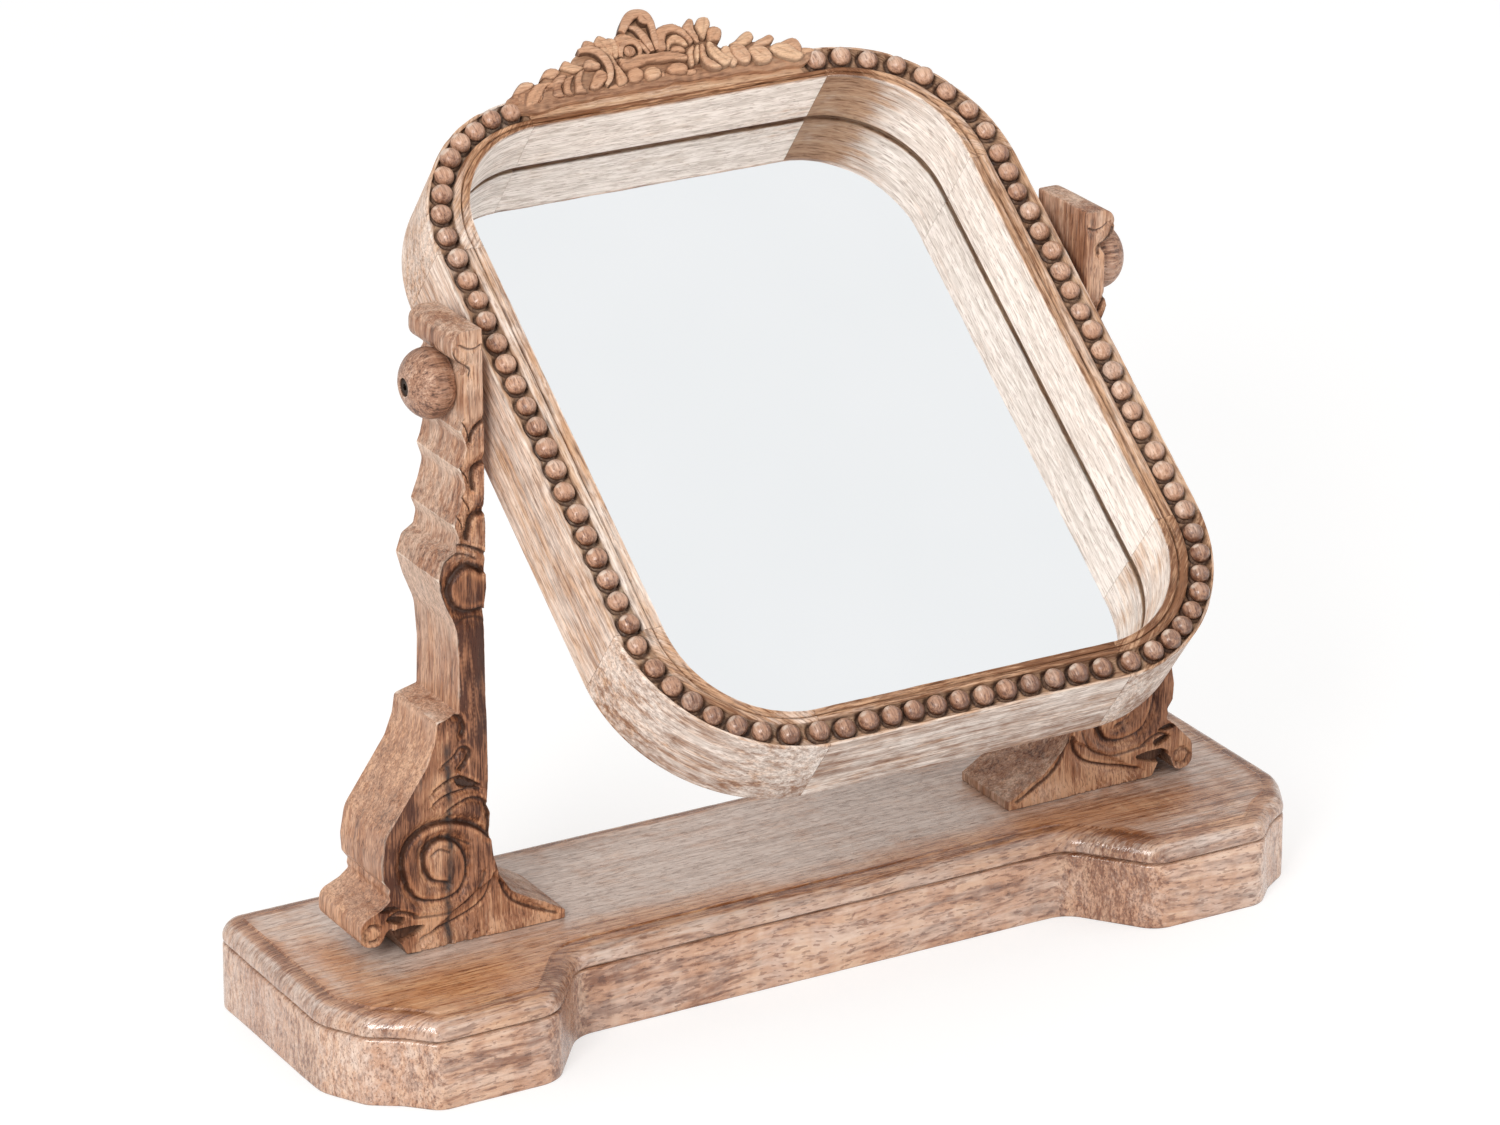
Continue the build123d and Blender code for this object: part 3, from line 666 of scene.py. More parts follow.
OUTLINE = [(0.4, 33.6, 1.2), (17.7, 33.6, 8.4), (17.9, 19, 7), (8.6, 13.2, 2.2), (12, 8.6, 1),
           (12, -14.6, 0.6), (13.9, -21, 0.5), (10.6, -29, 7), (12.6, -37, 8), (14.6, -41.8, 0.5),
           (11.6, -51, 8), (14.4, -61, 14), (18.6, -71.8, 0.5), (16, -79, 5), (17.6, -86, 2),
           (24.6, -90.4, 4), (28, -100.2, 0.6), (24.5, -113, 14), (18.2, -129, 24), (16.8, -150, 30),
           (17.6, -176.2, 0.8), (30.8, -179.4, 2.6), (32.4, -190, 9), (37, -202, 16), (61.6, -237, 16),
           (64.4, -252.5, 12), (63.8, -262.6, 2), (60.4, -267.4, 1), (61, -270.4, 0.6), (60.2, -273.4, 1.2),
           (65.4, -277.6, 5)]
TOE = [(77.4, -282.6, 6.8), (78.2, -297.2, 6.8), (66, -298.6, 5.6), (62.6, -291.6, 1.4), (59.6, -289, 1.6)]
SOLE = [(56, -297, 3), (51, -306.4, 0.8), (41, -307.1, 0.3), (10, -307.1, 0.3), (-43.2, -307.1, 0.3),
        (-43.3, -302, 0.8), (-31, -294.5, 14), (-13, -285.5, 12), (-4.8, -273, 10), (-1.2, -261, 12),
        (0.5, -246, 4), (0.4, -236, 3), (2.2, -231, 3), (1.2, -216, 3), (1.8, -118, 3), (0.4, -109, 4),
        (0.6, -90, 2), (0.3, -74, 2), (0.9, -66, 2), (0.3, -40, 2)]

SPIRAL = [(26.5, -271), (35, -267.5), (39.3, -259), (38.5, -250.5), (32, -245.5), (24.5, -246.3),
          (18, -252), (14.8, -261), (15.4, -270), (19.2, -277), (25.5, -280), (34, -280), (43, -277),
          (48.7, -269.5), (51.8, -257.5), (50.2, -247.5), (45, -241), (36, -236.8), (25.8, -236.6),
          (15.5, -239), (7, -244), (1.2, -250)]
# Cuts: line, half width, depth, and which side falls away slowly (left, right or neither)
CUTS = [
    # Volute and the leaves above it
    (SPIRAL, 1.2, 3.2, "right"),
    ([(39.5, -249), (35, -245.8), (26, -246), (18.3, -248.8), (13, -251.7)], 0.7, 1.2, "right"),
    ([(35, -253.5), (30.5, -251), (25, -253.5)], 0.7, 0.9, ""),
    ([(25, -230), (18.5, -227), (12.5, -225.5), (6.5, -227), (3, -230.5), (1.2, -240), (1.2, -249)], 0.95,
     2.6, "left"),
    ([(33, -224.5), (28.5, -222), (22.5, -220.4), (12.5, -219.8), (7, -221.6)], 0.9, 2.6, "left"),
    ([(32.6, -217), (27, -214), (22.5, -212.4), (18.5, -212), (13, -214.8), (7.2, -219)], 1, 3.2, "left"),
    ([(27.3, -203.7), (22, -200.6), (17.7, -195.9), (14, -196.2), (11.9, -199.2), (13.4, -203.2),
     (17.2, -208)], 0.85, 2.3, "left"),
    ([(30, -175.2), (26.7, -173.9), (21.6, -175.4), (16.8, -179), (14.6, -184.5), (16, -188.5)], 1, 2.4,
     "left"),
    # Roundel
    ([(3, -99.4), (7.4, -96.3), (11.5, -95.2), (17.4, -97.7), (21.4, -103.6), (22, -108.8), (20.2, -113.9),
     (16.6, -118.4), (10.8, -120.7), (4.2, -120.4)], 1.7, 3.4, "left"),
    ([(5.7, -92.7), (10.6, -89.2), (17.1, -87.2), (22.6, -88.9), (25.6, -94), (26.2, -101)], 0.7, 1.2,
     "left"),
    ([(26.2, -102), (25.6, -111), (22.8, -118.5)], 1.1, 2.4, ""),
    ([(19, -82.2), (13.9, -82.9), (5.9, -86.5), (0.8, -89.9)], 1, 2.2, "left"),
    ([(0.6, -128), (6, -124.6), (13, -124.2), (18, -126)], 0.8, 0.8, "right"),
    # Husks up the stem, each with a broad leaf on the inner side and a short cut on the outer one
    ([(-0.6, -16.4), (3.3, -18.8), (5.8, -21), (7.4, -24), (8, -27.2)], 0.7, 2.8, "left"),
    ([(13, -15.7), (11, -18.5), (9.7, -22), (8.7, -25.3)], 0.55, 2, "right"),
    ([(-0.8, -39.6), (2.3, -39.9), (5.2, -41.3), (6.8, -43.8), (7.4, -47.4), (6.4, -54)], 0.9, 3.4, "left"),
    ([(14.6, -40.8), (12.5, -43.5), (10.5, -46.2), (9.3, -49.6)], 0.55, 2.2, "right"),
    ([(13.9, -56.4), (11.9, -59.4), (10.2, -62), (9, -65.4)], 0.55, 2, "right"),
    ([(17.2, -66.4), (15.2, -69), (14, -71.6), (13.7, -74)], 0.55, 1.8, "right"),
    ([(-0.8, -67), (3, -67), (6.2, -67.6), (8.3, -70), (9.8, -74), (10.8, -80.4)], 1.05, 3.8, "left"),
    # Top, and the tongue and toe at the foot
    ([(13, 26), (9.5, 23.8), (5, 23), (1.6, 24.6)], 0.7, 1.3, "left"),
    ([(17.2, 22.5), (15.6, 18.8), (11.5, 15), (7.8, 12.4), (8.2, 9)], 0.8, 1.8, "right"),
    ([(-1.4, -272), (2.1, -283), (8.9, -289.3), (20.2, -293.7), (32, -297), (42, -300)], 0.9, 1.9, "right"),
    ([(-4.5, -273), (-8.4, -284.6), (-14.6, -292), (-25, -298), (-38, -303)], 0.8, 1.4, "right"),
    ([(46, -286.8), (34, -288.2), (24, -288.4), (15, -285.4), (8, -279), (4, -270)], 0.7, 0.8, "right"),
    ([(61, -284), (55.5, -281.6), (50, -283), (44, -286.5)], 0.8, 1.5, ""),
]
# Ridges across the outer side, and how far the paler wash reaches below each
CUSPS = ((-21.0, 8.0), (-41.8, 9.0), (-71.8, 9.0), (-100.2, 26.0), (-179.0, 5.0), (-263.0, 7.0))
# Pockets cut deep between the forms: outline, depth
POCKETS = [
    ([(20.5, -213.6), (15.5, -213.8), (11.5, -216.6), (7.2, -219.4), (8.2, -220.8), (13.5, -219.8),
     (19, -217.4)], 3),
    ([(66.5, -279), (61, -276.6), (54, -279.4), (60, -280.6)], 2.6),
    ([(62.8, -284.4), (57, -283.2), (51.5, -285.2), (53, -289), (59, -287)], 3.4),
    ([(61.5, -294.5), (56, -290.6), (41, -291.6), (41.6, -294.6), (49, -297.5), (55, -298.6)], 4),
]
VOLUTE = (30.0, -259.0)
TOE_EYE, EYE_RADIUS = (70.2, -290.4), 4.6
# Fans of fine veins: middle and half size
FANS = (((12.0, -234.0), (9.0, 6.0)), ((6.0, -262.0), (4.0, 10.0)), ((20.0, -206.0), (6.0, 5.0)))


def carving(flat, drop, seed):
    """Depth of the carving below an upright's face, painted shade in its cuts and pockets, and the ridges
    beside them that carry a painted highlight.
    """
    reach, height = flat[:, 0], flat[:, 1]
    depth, dirt, crown = np.zeros((3, len(flat)))
    x, y = TOE_EYE[0], TOE_EYE[1] - drop
    ring = [(x + EYE_RADIUS * math.cos(a), y + EYE_RADIUS * math.sin(a)) for a in np.linspace(-2.4, 2.6, 12)]
    wobble = 1.0 + 0.18 * ripple(flat, 7.0, seed)
    for line, width, deep, slow in CUTS + [(ring, 0.8, 1.6, "")]:
        gap, left = beside(flat, curve_through(line, 0.5))
        spread = np.full(len(flat), width * 1.2)
        if slow:
            spread = np.where(left == (slow == "left"), width * 3.4, width * 0.7)
        depth = np.maximum(depth, deep * wobble * bell(gap, spread))
        # Painted shade in each cut, and a painted highlight on the ridge beside it
        dirt = np.maximum(dirt, min(0.95, 0.55 + 0.16 * deep) * step_up(width * 1.25, width * 0.45, gap))
        crown = np.maximum(crown, min(1.0, 0.4 * deep) * bell(gap - 2.2 * width, width * 0.8))
    for outline, deep in POCKETS:
        pocket = curve_through(outline, 0.6, closed=True)
        sunk = inside(flat, pocket) * step_up(0.0, 0.8, near(flat, pocket))
        depth = np.maximum(depth, deep * sunk)
        dirt = np.maximum(dirt, 0.92 * sunk)
    volute = np.hypot(*(flat - VOLUTE).T)
    depth += 0.5 * (1 - bell(volute - 8.0, 6.0)) * step_up(27.0, 24.0, volute)
    # The stem leans back between the roundel and the block, and the tongue's face leans out to its foot
    depth += 0.9 * step_up(-122, -130, height) * step_up(-182, -172, height)
    under = -272.0 - 0.62 * np.clip(reach + 2.0, 0, 40) - 0.9 * np.clip(-2.0 - reach, 0, 40)
    lean = step_up(0.0, -3.0, height - under) * step_up(46, 38, reach)
    depth += 2.6 * lean * step_up(-307.0, -296.0, height)
    ragged = step_up(-299, -305, height) * step_up(-6, 4, reach) * step_up(46, 40, reach)
    depth += 0.9 * ragged * (1 + ripple(flat, 3.2, seed + 1))
    for middle, size in FANS:
        depth += 0.45 * patch(flat, middle, size) * (0.5 + 0.5 * np.sin((reach * 0.8 + height) * 2.1))
    depth += 0.45 * step_up(-2, 4, height) * step_up(16, 10, height) * (0.5 + 0.5 * np.sin(reach * 1.55))
    stippled = 2.0 * step_up(-12, -18, height) * step_up(-96, -86, height) + 0.5 * step_up(-190, -200, height)
    depth += 0.10 + 0.10 * ripple(flat, 5.0, seed + 2)
    depth += (0.05 + 0.12 * stippled) * ripple(flat, 1.5, seed + 3)
    return np.maximum(depth, 0.0), dirt, crown


# Rows round the upright's edge, from its face to its back: inset from the outline, depth behind the face
EDGE_ROWS = [(0.45, 0.05), (0.15, 0.3), (0, 0.85), (0, 4), (0, 12), (0, 20), (0, 28), (0, 36), (0, 44),
             (0, 49), (0.2, 49.6), (0.6, 49.9)]
FACE_ROW, BACK_ROW = EDGE_ROWS[0], EDGE_ROWS[-1]


def face_finish(side, flat, edge, depth, dirt, crown, seed):
    """Finish of the carved face: greyer at the top, lighter and yellower on the ridges as a painted
    highlight, darker deeper in the carving as painted shade, stained on the left upright.
    """
    reach, height = flat.T
    upper, low = step_up(-108, -84, height), step_up(-190, -215, height)
    stem = step_up(-118, -130, height) * step_up(-200, -185, height)
    wash = 0.04 + 0.10 * step_up(-40, 25, height) + 0.08 * ripple(flat, 30.0, seed + 6)
    wash += 0.10 * step_up(-275, -300, height) + 0.26 * upper
    wash += 0.16 * step_up(-284, -296, height) * step_up(60, 72, reach) + (0.08 + 0.02 * side) * low
    tone = 0.34 + 0.22 * upper + 0.14 * ripple(flat, 26.0, seed + 5)
    tone += 0.12 * step_up(-12, -18, height) * upper * ripple(flat, 1.9, seed + 3)
    tone += stem * (-0.06 + 0.22 * ripple(flat * (1.0, 0.10), 3.2, seed + 12))
    # Painted highlight on the ridges beside the cuts, and painted shade the deeper the carving goes
    tone += 0.24 * step_up(-276, -292, height) + 0.20 * crown * (1 - dirt) - 0.10 * depth / 3.0
    tone += (0.11 + 0.05 * side) * low
    pale = 0.60 * bell(edge, 0.75) * (reach > 3.0) * step_up(0.6, 0.2, dirt)
    stain = 0.0
    if side < 0:
        stripe = bell(reach - 24.6 - 0.8 * np.sin(height * 0.06), 2.0)
        broken = step_up(-0.6, 0.3, ripple(flat[:, 1:], 16.0, 40))
        stain = 1.1 * stripe * step_up(-189, -196, height) * (0.6 + 0.4 * broken)
        stain += 0.42 * step_up(10.0, 2.0, reach) * step_up(-118, -130, height) * step_up(-204, -186, height)
    return {"wash": wash, "tone": tone, "dirt": dirt, "pale": pale, "stain": stain,
            "amber": 0.30 - 0.22 * upper + 0.3 * crown}


def edge_finish(mottle, line, out, back, dirt):
    """Wash, darkening and pale of the row that runs round the edge this far behind the face: painted shade
    carried round from the cuts, on faces that look down and in the hollow under the toe, pale arrises, and
    painted highlights on the ridges.
    """
    reach, height = line.T
    upward, outer = step_up(0.1, 0.9, out[:, 1]), step_up(-0.2, 0.6, out[:, 0])
    wash = 0.30 + 0.16 * outer + 0.10 * upward + 0.16 * mottle
    wash += 0.22 * step_up(-100, -250, height) * outer + 0.40 * bell(height + 121.0, 17.0) * outer
    ridge = np.zeros(len(line))
    for top, fade in CUSPS:
        below = (top - height) * (height < top)
        wash += 0.34 * outer * (below > 0) * step_up(fade, 0.3 * fade, below)
        ridge = np.maximum(ridge, bell(height - top, 0.9) * step_up(0.0, 0.3, out[:, 0]))
    # Painted shade on faces that look down and under the toe; painted highlight along each ridge
    hollow = step_up(-0.15, -0.8, out[:, 1]) * outer
    under_toe = step_up(-292, -296, height) * step_up(66, 60, reach) * step_up(38, 46, reach)
    pale = 0.55 * bell(back - 0.6, 0.5) * (0.5 + 0.5 * outer) + 0.35 * bell(back - 49.3, 0.5) + 0.55 * ridge
    return wash, np.maximum(dirt * math.exp(-back / 1.2) + 0.05 * hollow, 0.8 * under_toe), pale


def upright(side, drop, seed):
    """An upright whose toe scroll hangs lower by drop, its grain running up it."""
    name = "left" if side < 0 else "right"
    toe = [(x, y - drop, r) for x, y, r in TOE[:3]] + [(x, y - drop * 0.7, r) for x, y, r in TOE[3:]]
    line, out = rounded_line(OUTLINE + toe + SOLE, 0.9)
    line[:, 1] = np.maximum(line[:, 1], BASE_TOP - PIVOT_Z + 0.02)
    shape = Shape()

    def placed(flat, y):
        return np.column_stack([side * (UPRIGHT_INNER + flat[:, 0]), UPRIGHT_FRONT + y, PIVOT_Z + flat[:, 1]])

    def add(points, faces, **fields):
        shape.add(points, faces, points[:, [2, 0, 1]] + seed * 61.0, **fields)

    cuts = np.vstack([curve_through(cut[0], 0.8) for cut in CUTS + POCKETS])
    flat, faces = filled(line - out * FACE_ROW[0], 1.7, fine=0.52, lines=cuts)
    depth, dirt, crown = carving(flat, drop, seed)
    add(placed(flat, FACE_ROW[1] + depth), faces,
        **face_finish(side, flat, near(flat, line), depth, dirt, crown, seed))

    depth, dirt, _ = carving(line, drop, seed)
    rows, finishes = [], []
    for inset, back in EDGE_ROWS:
        row = placed(line - out * inset, back + math.exp(-back / 1.6) * depth)
        wave = (0.10 * ripple(row, 11.0, seed + 4) - 0.12) * (0.3 < back < 49.3)
        row[:, 0] += side * out[:, 0] * wave
        row[:, 2] += out[:, 1] * wave
        rows.append(row)
        finishes.append(edge_finish(ripple(row, 38.0, seed + 7), line, out, back, dirt))
    wash, dirt, pale = (np.concatenate(values) for values in zip(*finishes))
    golden = np.tile(0.55 * step_up(-0.2, 0.6, out[:, 0]) * step_up(-60, -200, line[:, 1]), len(rows))
    add(np.vstack(rows), ring_faces(len(rows), len(line)), wash=wash, dirt=dirt, pale=pale, amber=golden,
        tone=0.52 + 0.10 * golden)

    ring = line - out * BACK_ROW[0]
    flat, faces = filled(ring, 3.5)
    sag = 0.06 * (1 + ripple(flat, 16.0, seed + 8)) * step_up(0, 3, near(flat, ring))
    add(placed(flat, BACK_ROW[1] - sag), faces, wash=0.34 + 0.14 * ripple(flat, 40.0, seed + 9))
    shape.build(name + "_upright_carved", [post_wood], "stand", [name + "_upright"], crease=32)


upright(-1, 0.0, 21)
upright(1, 8.0, 34)

# Pivots

KNOB_X = UPRIGHT_INNER + 20.0
KNOB_HALF, KNOB_RADIUS = 15.0, 18.9
# Parts of the turned profile beside the bulge, as (place along the axis, radius): the flat seat on the
# upright, and the bore in the outer end, which begins with its rim
SEAT = [(-7.55, 0), (-7.6, 6), (-7.62, 12)]
BORE = [(14.35, 5.35), (14.1, 4.95), (13.4, 4.8), (11, 4.75), (8.55, 4.75), (8.5, 4.3), (8.5, 0)]
RIM_ROWS = 2


def knob(side):
    """Turned oval with tool lines round it, flat where it bears on the upright and drilled outside."""
    name = "left" if side < 0 else "right"
    bulge = [(KNOB_HALF * math.sin(t), KNOB_RADIUS * math.cos(t)) for t in np.linspace(-0.52, 1.19, 74)]
    profile = SEAT + bulge + BORE
    bore = len(SEAT + bulge)
    around = 120
    angle = np.linspace(0, 2 * math.pi, around, endpoint=False)
    rings, wash, dirt, pale = [], [], [], []
    for number, (along, radius) in enumerate(profile):
        turned = len(SEAT) < number < bore
        if turned:
            radius = radius - 0.05 + 0.05 * math.sin(number * 2.4) + 0.04 * math.sin(number * 5.3)
        ring = np.column_stack([np.full(around, along), radius * np.cos(angle), radius * np.sin(angle)])
        if turned:
            swell = 1 + 0.006 * np.sin(2 * angle + 0.7) + 0.004 * np.sin(3 * angle + along * 0.2)
            ring[:, 1:] *= (swell * 0.992)[:, None]
        rings.append(ring)
        # Inside the bore the wood gets painted shade; its rim is pale
        in_hole = number >= bore + RIM_ROWS
        wash.append((0.1 if in_hole else 0.29 + 0.12 * side) + 0.12 * ripple(ring, 12.0, 5))
        dirt.append(np.full(around, 0.85 if in_hole else 0.0))
        pale.append(np.full(around, 0.5 if bore <= number < bore + RIM_ROWS else 0.0))
    ring = np.vstack(rings)
    placed = np.column_stack([side * (KNOB_X + ring[:, 0]), ring[:, 1], PIVOT_Z + ring[:, 2]])
    shape = Shape()
    shape.add(placed, ring_faces(len(profile), around), ring + 17.0 * side, wash=np.concatenate(wash),
              dirt=np.concatenate(dirt), pale=np.concatenate(pale), tone=0.48 + 0.04 * side)
    shape.build(name + "_knob_turned", [knob_wood], name + "_clamp", [name + "_knob"], crease=60)


knob(-1)
knob(1)

# Frame: x across, v up along the frame from the pivots, and depth behind its front face

# Rounded outlines: half width, above and below the pivots, corner radius
OPENING = (147.5, 131.0, 238.0, 60.0)
BEADLINE = (165.5, 142.0, 251.5, 75.0)
OUTER = (175.5, 150.0, 260.0, 90.0)
FLOOR_HALF = 6.5      # half width of the floor that the beads stand on
BEAD_FLOOR = 0.45     # its depth where the crest covers it
PIVOT_DEPTH = 17.5    # of the pivots' line behind the frame's front
JOINT_X = 89.5
JOINT_TOP = 64.0
JOINT_BOTTOM = -174.0
TILTED = Matrix.Rotation(-TILT, 3, "X")


def stand_up(x, v, depth):
    """Points of the frame in the row frame."""
    return np.column_stack([x, depth - PIVOT_DEPTH, v]) @ np.array(TILTED).T + np.array([0.0, 0.0, PIVOT_Z])


def frame_line(size, parts=240):
    """Rounded rectangle clockwise from the middle of its top, as points and outward normals."""
    half, above, below, radius = size
    spots, normals = [], []
    run = np.linspace(0, 1, parts, endpoint=False)[:, None]
    last = top = np.array([0.0, above])
    for x, y, start in ((half - radius, above - radius, 90), (half - radius, radius - below, 0),
                        (radius - half, radius - below, -90), (radius - half, above - radius, 180)):
        angles = [math.radians(start - 90 * t) for t in np.linspace(0, 1, parts + 1)]
        outward = np.array([(math.cos(a), math.sin(a)) for a in angles])
        arc = np.array([x, y]) + radius * outward
        spots += [last + (arc[0] - last) * run, arc]
        normals += [np.repeat(outward[:1], parts, axis=0), outward]
        last = arc[-1]
    spots.append(last + (top - last) * run)
    normals.append(np.repeat(outward[-1:], parts, axis=0))
    return np.vstack(spots), np.vstack(normals)


LINES = {"opening": frame_line(OPENING), "beads": frame_line(BEADLINE), "outer": frame_line(OUTER)}


def nested(base, value):
    """Line of the frame: a share between opening and bead floor, or an offset in mm from a named line."""
    if base == "share":
        inner = LINES["opening"][0]
        spots, normals = LINES["beads"]
        return inner + (spots - normals * FLOOR_HALF - inner) * value
    spots, normals = LINES[base]
    return spots + normals * value


# Section of the frame, as (place, depth, wash, darkening, pale) from each of its lines; the darkening is
# painted shade, in the quirk by the glass, the lip's groove and the bead floor
SECTION = [(base, *row) for base, rows in (
    ("opening", [(12, 51.2, 0.2, 0.2, 0), (12, 44, 0.1, 0.4, 0), (5, 44, 0.1, 0.4, 0), (5, 40, 0.1, 0.6, 0),
        (1.7, 39.95, 0.1, 0.72, 0), (1.6, 38.3, 0.1, 0.66, 0), (0.3, 38, 0.5, 0.45, 0),
        (0, 37.3, 1.05, 0.04, 0), (0, 30, 1.1, 0, 0), (0, 20, 1.15, 0, 0), (0, 10, 1.15, 0, 0),
        (0, 3, 1.15, 0, 0.1)]),
    ("share", [(0.004, 1.3, 1, 0, 0.5), (0.03, 0.45, 0.6, 0, 0.5), (0.075, 0.25, 0.3, 0, 0.2),
        (0.13, 0.6, 0.2, 0.14, 0), (0.17, 0.9, 0.22, 0, 0), (0.22, 1, 0.24, 0, 0), (0.27, 1, 0.25, 0, 0),
        (0.33, 1.05, 0.26, 0, 0), (0.38, 1.1, 0.25, 0, 0), (0.43, 1.3, 0.22, 0.05, 0),
        (0.475, 2.1, 0.15, 0.45, 0), (0.51, 2, 0.15, 0.5, 0), (0.55, 1, 0.22, 0.08, 0.05),
        (0.62, 0.5, 0.28, 0, 0.1), (0.68, 0.35, 0.3, 0, 0), (0.74, 0.25, 0.3, 0, 0),
        (0.81, 0.25, 0.3, 0, 0), (0.88, 0.35, 0.3, 0, 0.1), (0.97, 0.7, 0.26, 0.1, 0.1)]),
    ("beads", [(-6.2, 1.7, 0.2, 0.55, 0), (-5.2, 2.3, 0.15, 0.5, 0), (-4.2, 2.2, 0.15, 0.35, 0),
        (-3.1, 2, 0.15, 0.3, 0), (-1.6, 1.9, 0.15, 0.3, 0), (0, 1.9, 0.15, 0.3, 0),
        (1.6, 1.9, 0.15, 0.3, 0), (3.1, 1.9, 0.2, 0.3, 0), (4.2, 1.9, 0.2, 0.3, 0),
        (5.2, 1.7, 0.25, 0.3, 0), (6.1, 1.1, 0.36, 0.12, 0), (6.9, 0.7, 0.4, 0, 0)]),
    ("outer", [(-1.5, 0.45, 0.45, 0.1, 0.1), (-0.9, 0.2, 0.5, 0, 0.75), (-0.35, 0.5, 0.55, 0, 0.6),
        (-0.05, 1.5, 0.6, 0, 0.1), (0, 8, 0.62, 0, 0), (0, 18, 0.62, 0, 0), (0, 28, 0.6, 0, 0),
        (0, 38, 0.58, 0, 0), (0, 49.2, 0.55, 0, 0), (-0.25, 50.8, 0.5, 0, 0.4), (-0.9, 51.4, 0.4, 0, 0.3)]),
    ("opening", [(13, 51.4, 0.3, 0, 0.1)]),
) for row in rows]

BEADS_START, BEADS_END = 87.0, 98.5     # from the middle of the top, each way round
# Hand spacing of the beads along their line, from the crest's right foot round to its left one
RUNS = ((8, 15.8), (15, 13.3), (3, 13), (1, 14.2), (7, 12.9), (1, 16), (1, 16.6), (4, 14.8), (6, 13.7),
        (2, 14.6), (2, 15.6), (5, 13), (1, 15), (1, 13.2), (17, 13.45), (2, 14.2), (7, 13))


def lengths(line):
    """Length of a line up to each of its points."""
    return np.concatenate([[0.0], np.cumsum(np.linalg.norm(np.diff(line, axis=0), axis=1))])


def points_at(places, line, values=None):
    """Points of a line, or what is given for them, at these lengths along it."""
    along, values = lengths(line), line if values is None else values
    return np.column_stack([np.interp(places, along, values[:, k]) for k in (0, 1)])


def bead_spots():
    """Middles of the beads along their line, unevenly spaced and a little out of line as by hand."""
    spots, normals = LINES["beads"]
    start, end = BEADS_START, lengths(spots)[-1] - BEADS_END
    gaps = np.array([gap for count, gap in RUNS for _ in range(count)])
    gaps += 0.35 * np.random.default_rng(4).normal(size=len(gaps))
    gaps *= (end - start) / gaps.sum()
    places = np.concatenate([[start], start + np.cumsum(gaps)])
    sway = 0.45 * np.random.default_rng(9).normal(size=(len(places), 1))
    return points_at(places, spots) + points_at(places, spots, normals) * sway


BEADS = bead_spots()
FAR = 900.0     # beyond the frame
ACROSS = {"left": (-FAR, -JOINT_X), "": (-JOINT_X, JOINT_X), "right": (JOINT_X, FAR)}
UPWARD = {"bottom": (-FAR, JOINT_BOTTOM), "": (JOINT_BOTTOM, JOINT_TOP), "top": (JOINT_TOP, FAR)}
# Each piece's node and the x and v between which it lies
PIECES = {
    "frame_top_rail": (ACROSS[""], UPWARD["top"]),
    "frame_bottom_rail": (ACROSS[""], UPWARD["bottom"]),
    "frame_left_rail": (ACROSS["left"], UPWARD[""]),
    "frame_right_rail": (ACROSS["right"], UPWARD[""]),
    "frame_corner_top_left": (ACROSS["left"], UPWARD["top"]),
    "frame_corner_top_right": (ACROSS["right"], UPWARD["top"]),
    "frame_corner_bottom_left": (ACROSS["left"], UPWARD["bottom"]),
    "frame_corner_bottom_right": (ACROSS["right"], UPWARD["bottom"]),
}
JOINT_GAP = 0.1     # that each piece keeps from its joints
BESIDE = 8.0        # reach of the hollow round a bead, also across a joint
CREST_LEFT, CREST_RIGHT = -89.0, 76.0     # where the crest's foot takes the place of beads


def stretch_within(line, spans, count):
    """The part of a closed line between a piece's two joints, in count even steps."""
    (x0, x1), (v0, v1) = spans
    keep = (line[:, 0] > x0) & (line[:, 0] < x1) & (line[:, 1] > v0) & (line[:, 1] < v1)
    rolled = np.roll(line, -np.flatnonzero(keep & ~np.roll(keep, 1))[0], axis=0)
    total = int(keep.sum())
    run = rolled[:total]

    def cut(inner, outer):
        """Where the way from an inner point to an outer one crosses the joint."""
        shares = [1.0]
        for axis, limits in enumerate(spans):
            for limit in limits:
                a, b = inner[axis], outer[axis]
                if (a - limit) * (b - limit) < 0:
                    shares.append((limit - a) / (b - a))
        return inner + (outer - inner) * min(shares)

    run = np.vstack([cut(run[0], rolled[-1]), run, cut(run[-1], rolled[total % len(rolled)])])
    return points_at(np.linspace(0, lengths(run)[-1], count), run)


BEAD_SIZE = 5.5


def bead_mesh(seed, squash=1.0):
    """Carved ball about its centre, open towards the wood: points and faces, and its random generator."""
    around, rings = 26, 15
    random = np.random.default_rng(seed)
    angle = np.linspace(0, 2 * math.pi, around, endpoint=False)
    points = np.vstack([np.column_stack([np.sin(t) * np.cos(angle), -np.cos(t) * np.ones(around),
                                         np.sin(t) * np.sin(angle)])
                        for t in np.linspace(0.02, 0.5 * math.pi + 0.72, rings)])
    radius = BEAD_SIZE * (1 + 0.025 * random.normal())
    lumps = 1 + 0.030 * ripple(points, 1.5, seed) + 0.014 * ripple(points, 0.6, seed + 1)
    facets = np.maximum(0, points @ np.array([0.3, -0.8, 0.5]) - 0.9) * 0.5
    points *= (radius * (lumps - facets))[:, None]
    points[:, 1] *= 0.94 * squash
    return points, ring_faces(rings, around) + [tuple(range(around - 1, -1, -1))], random


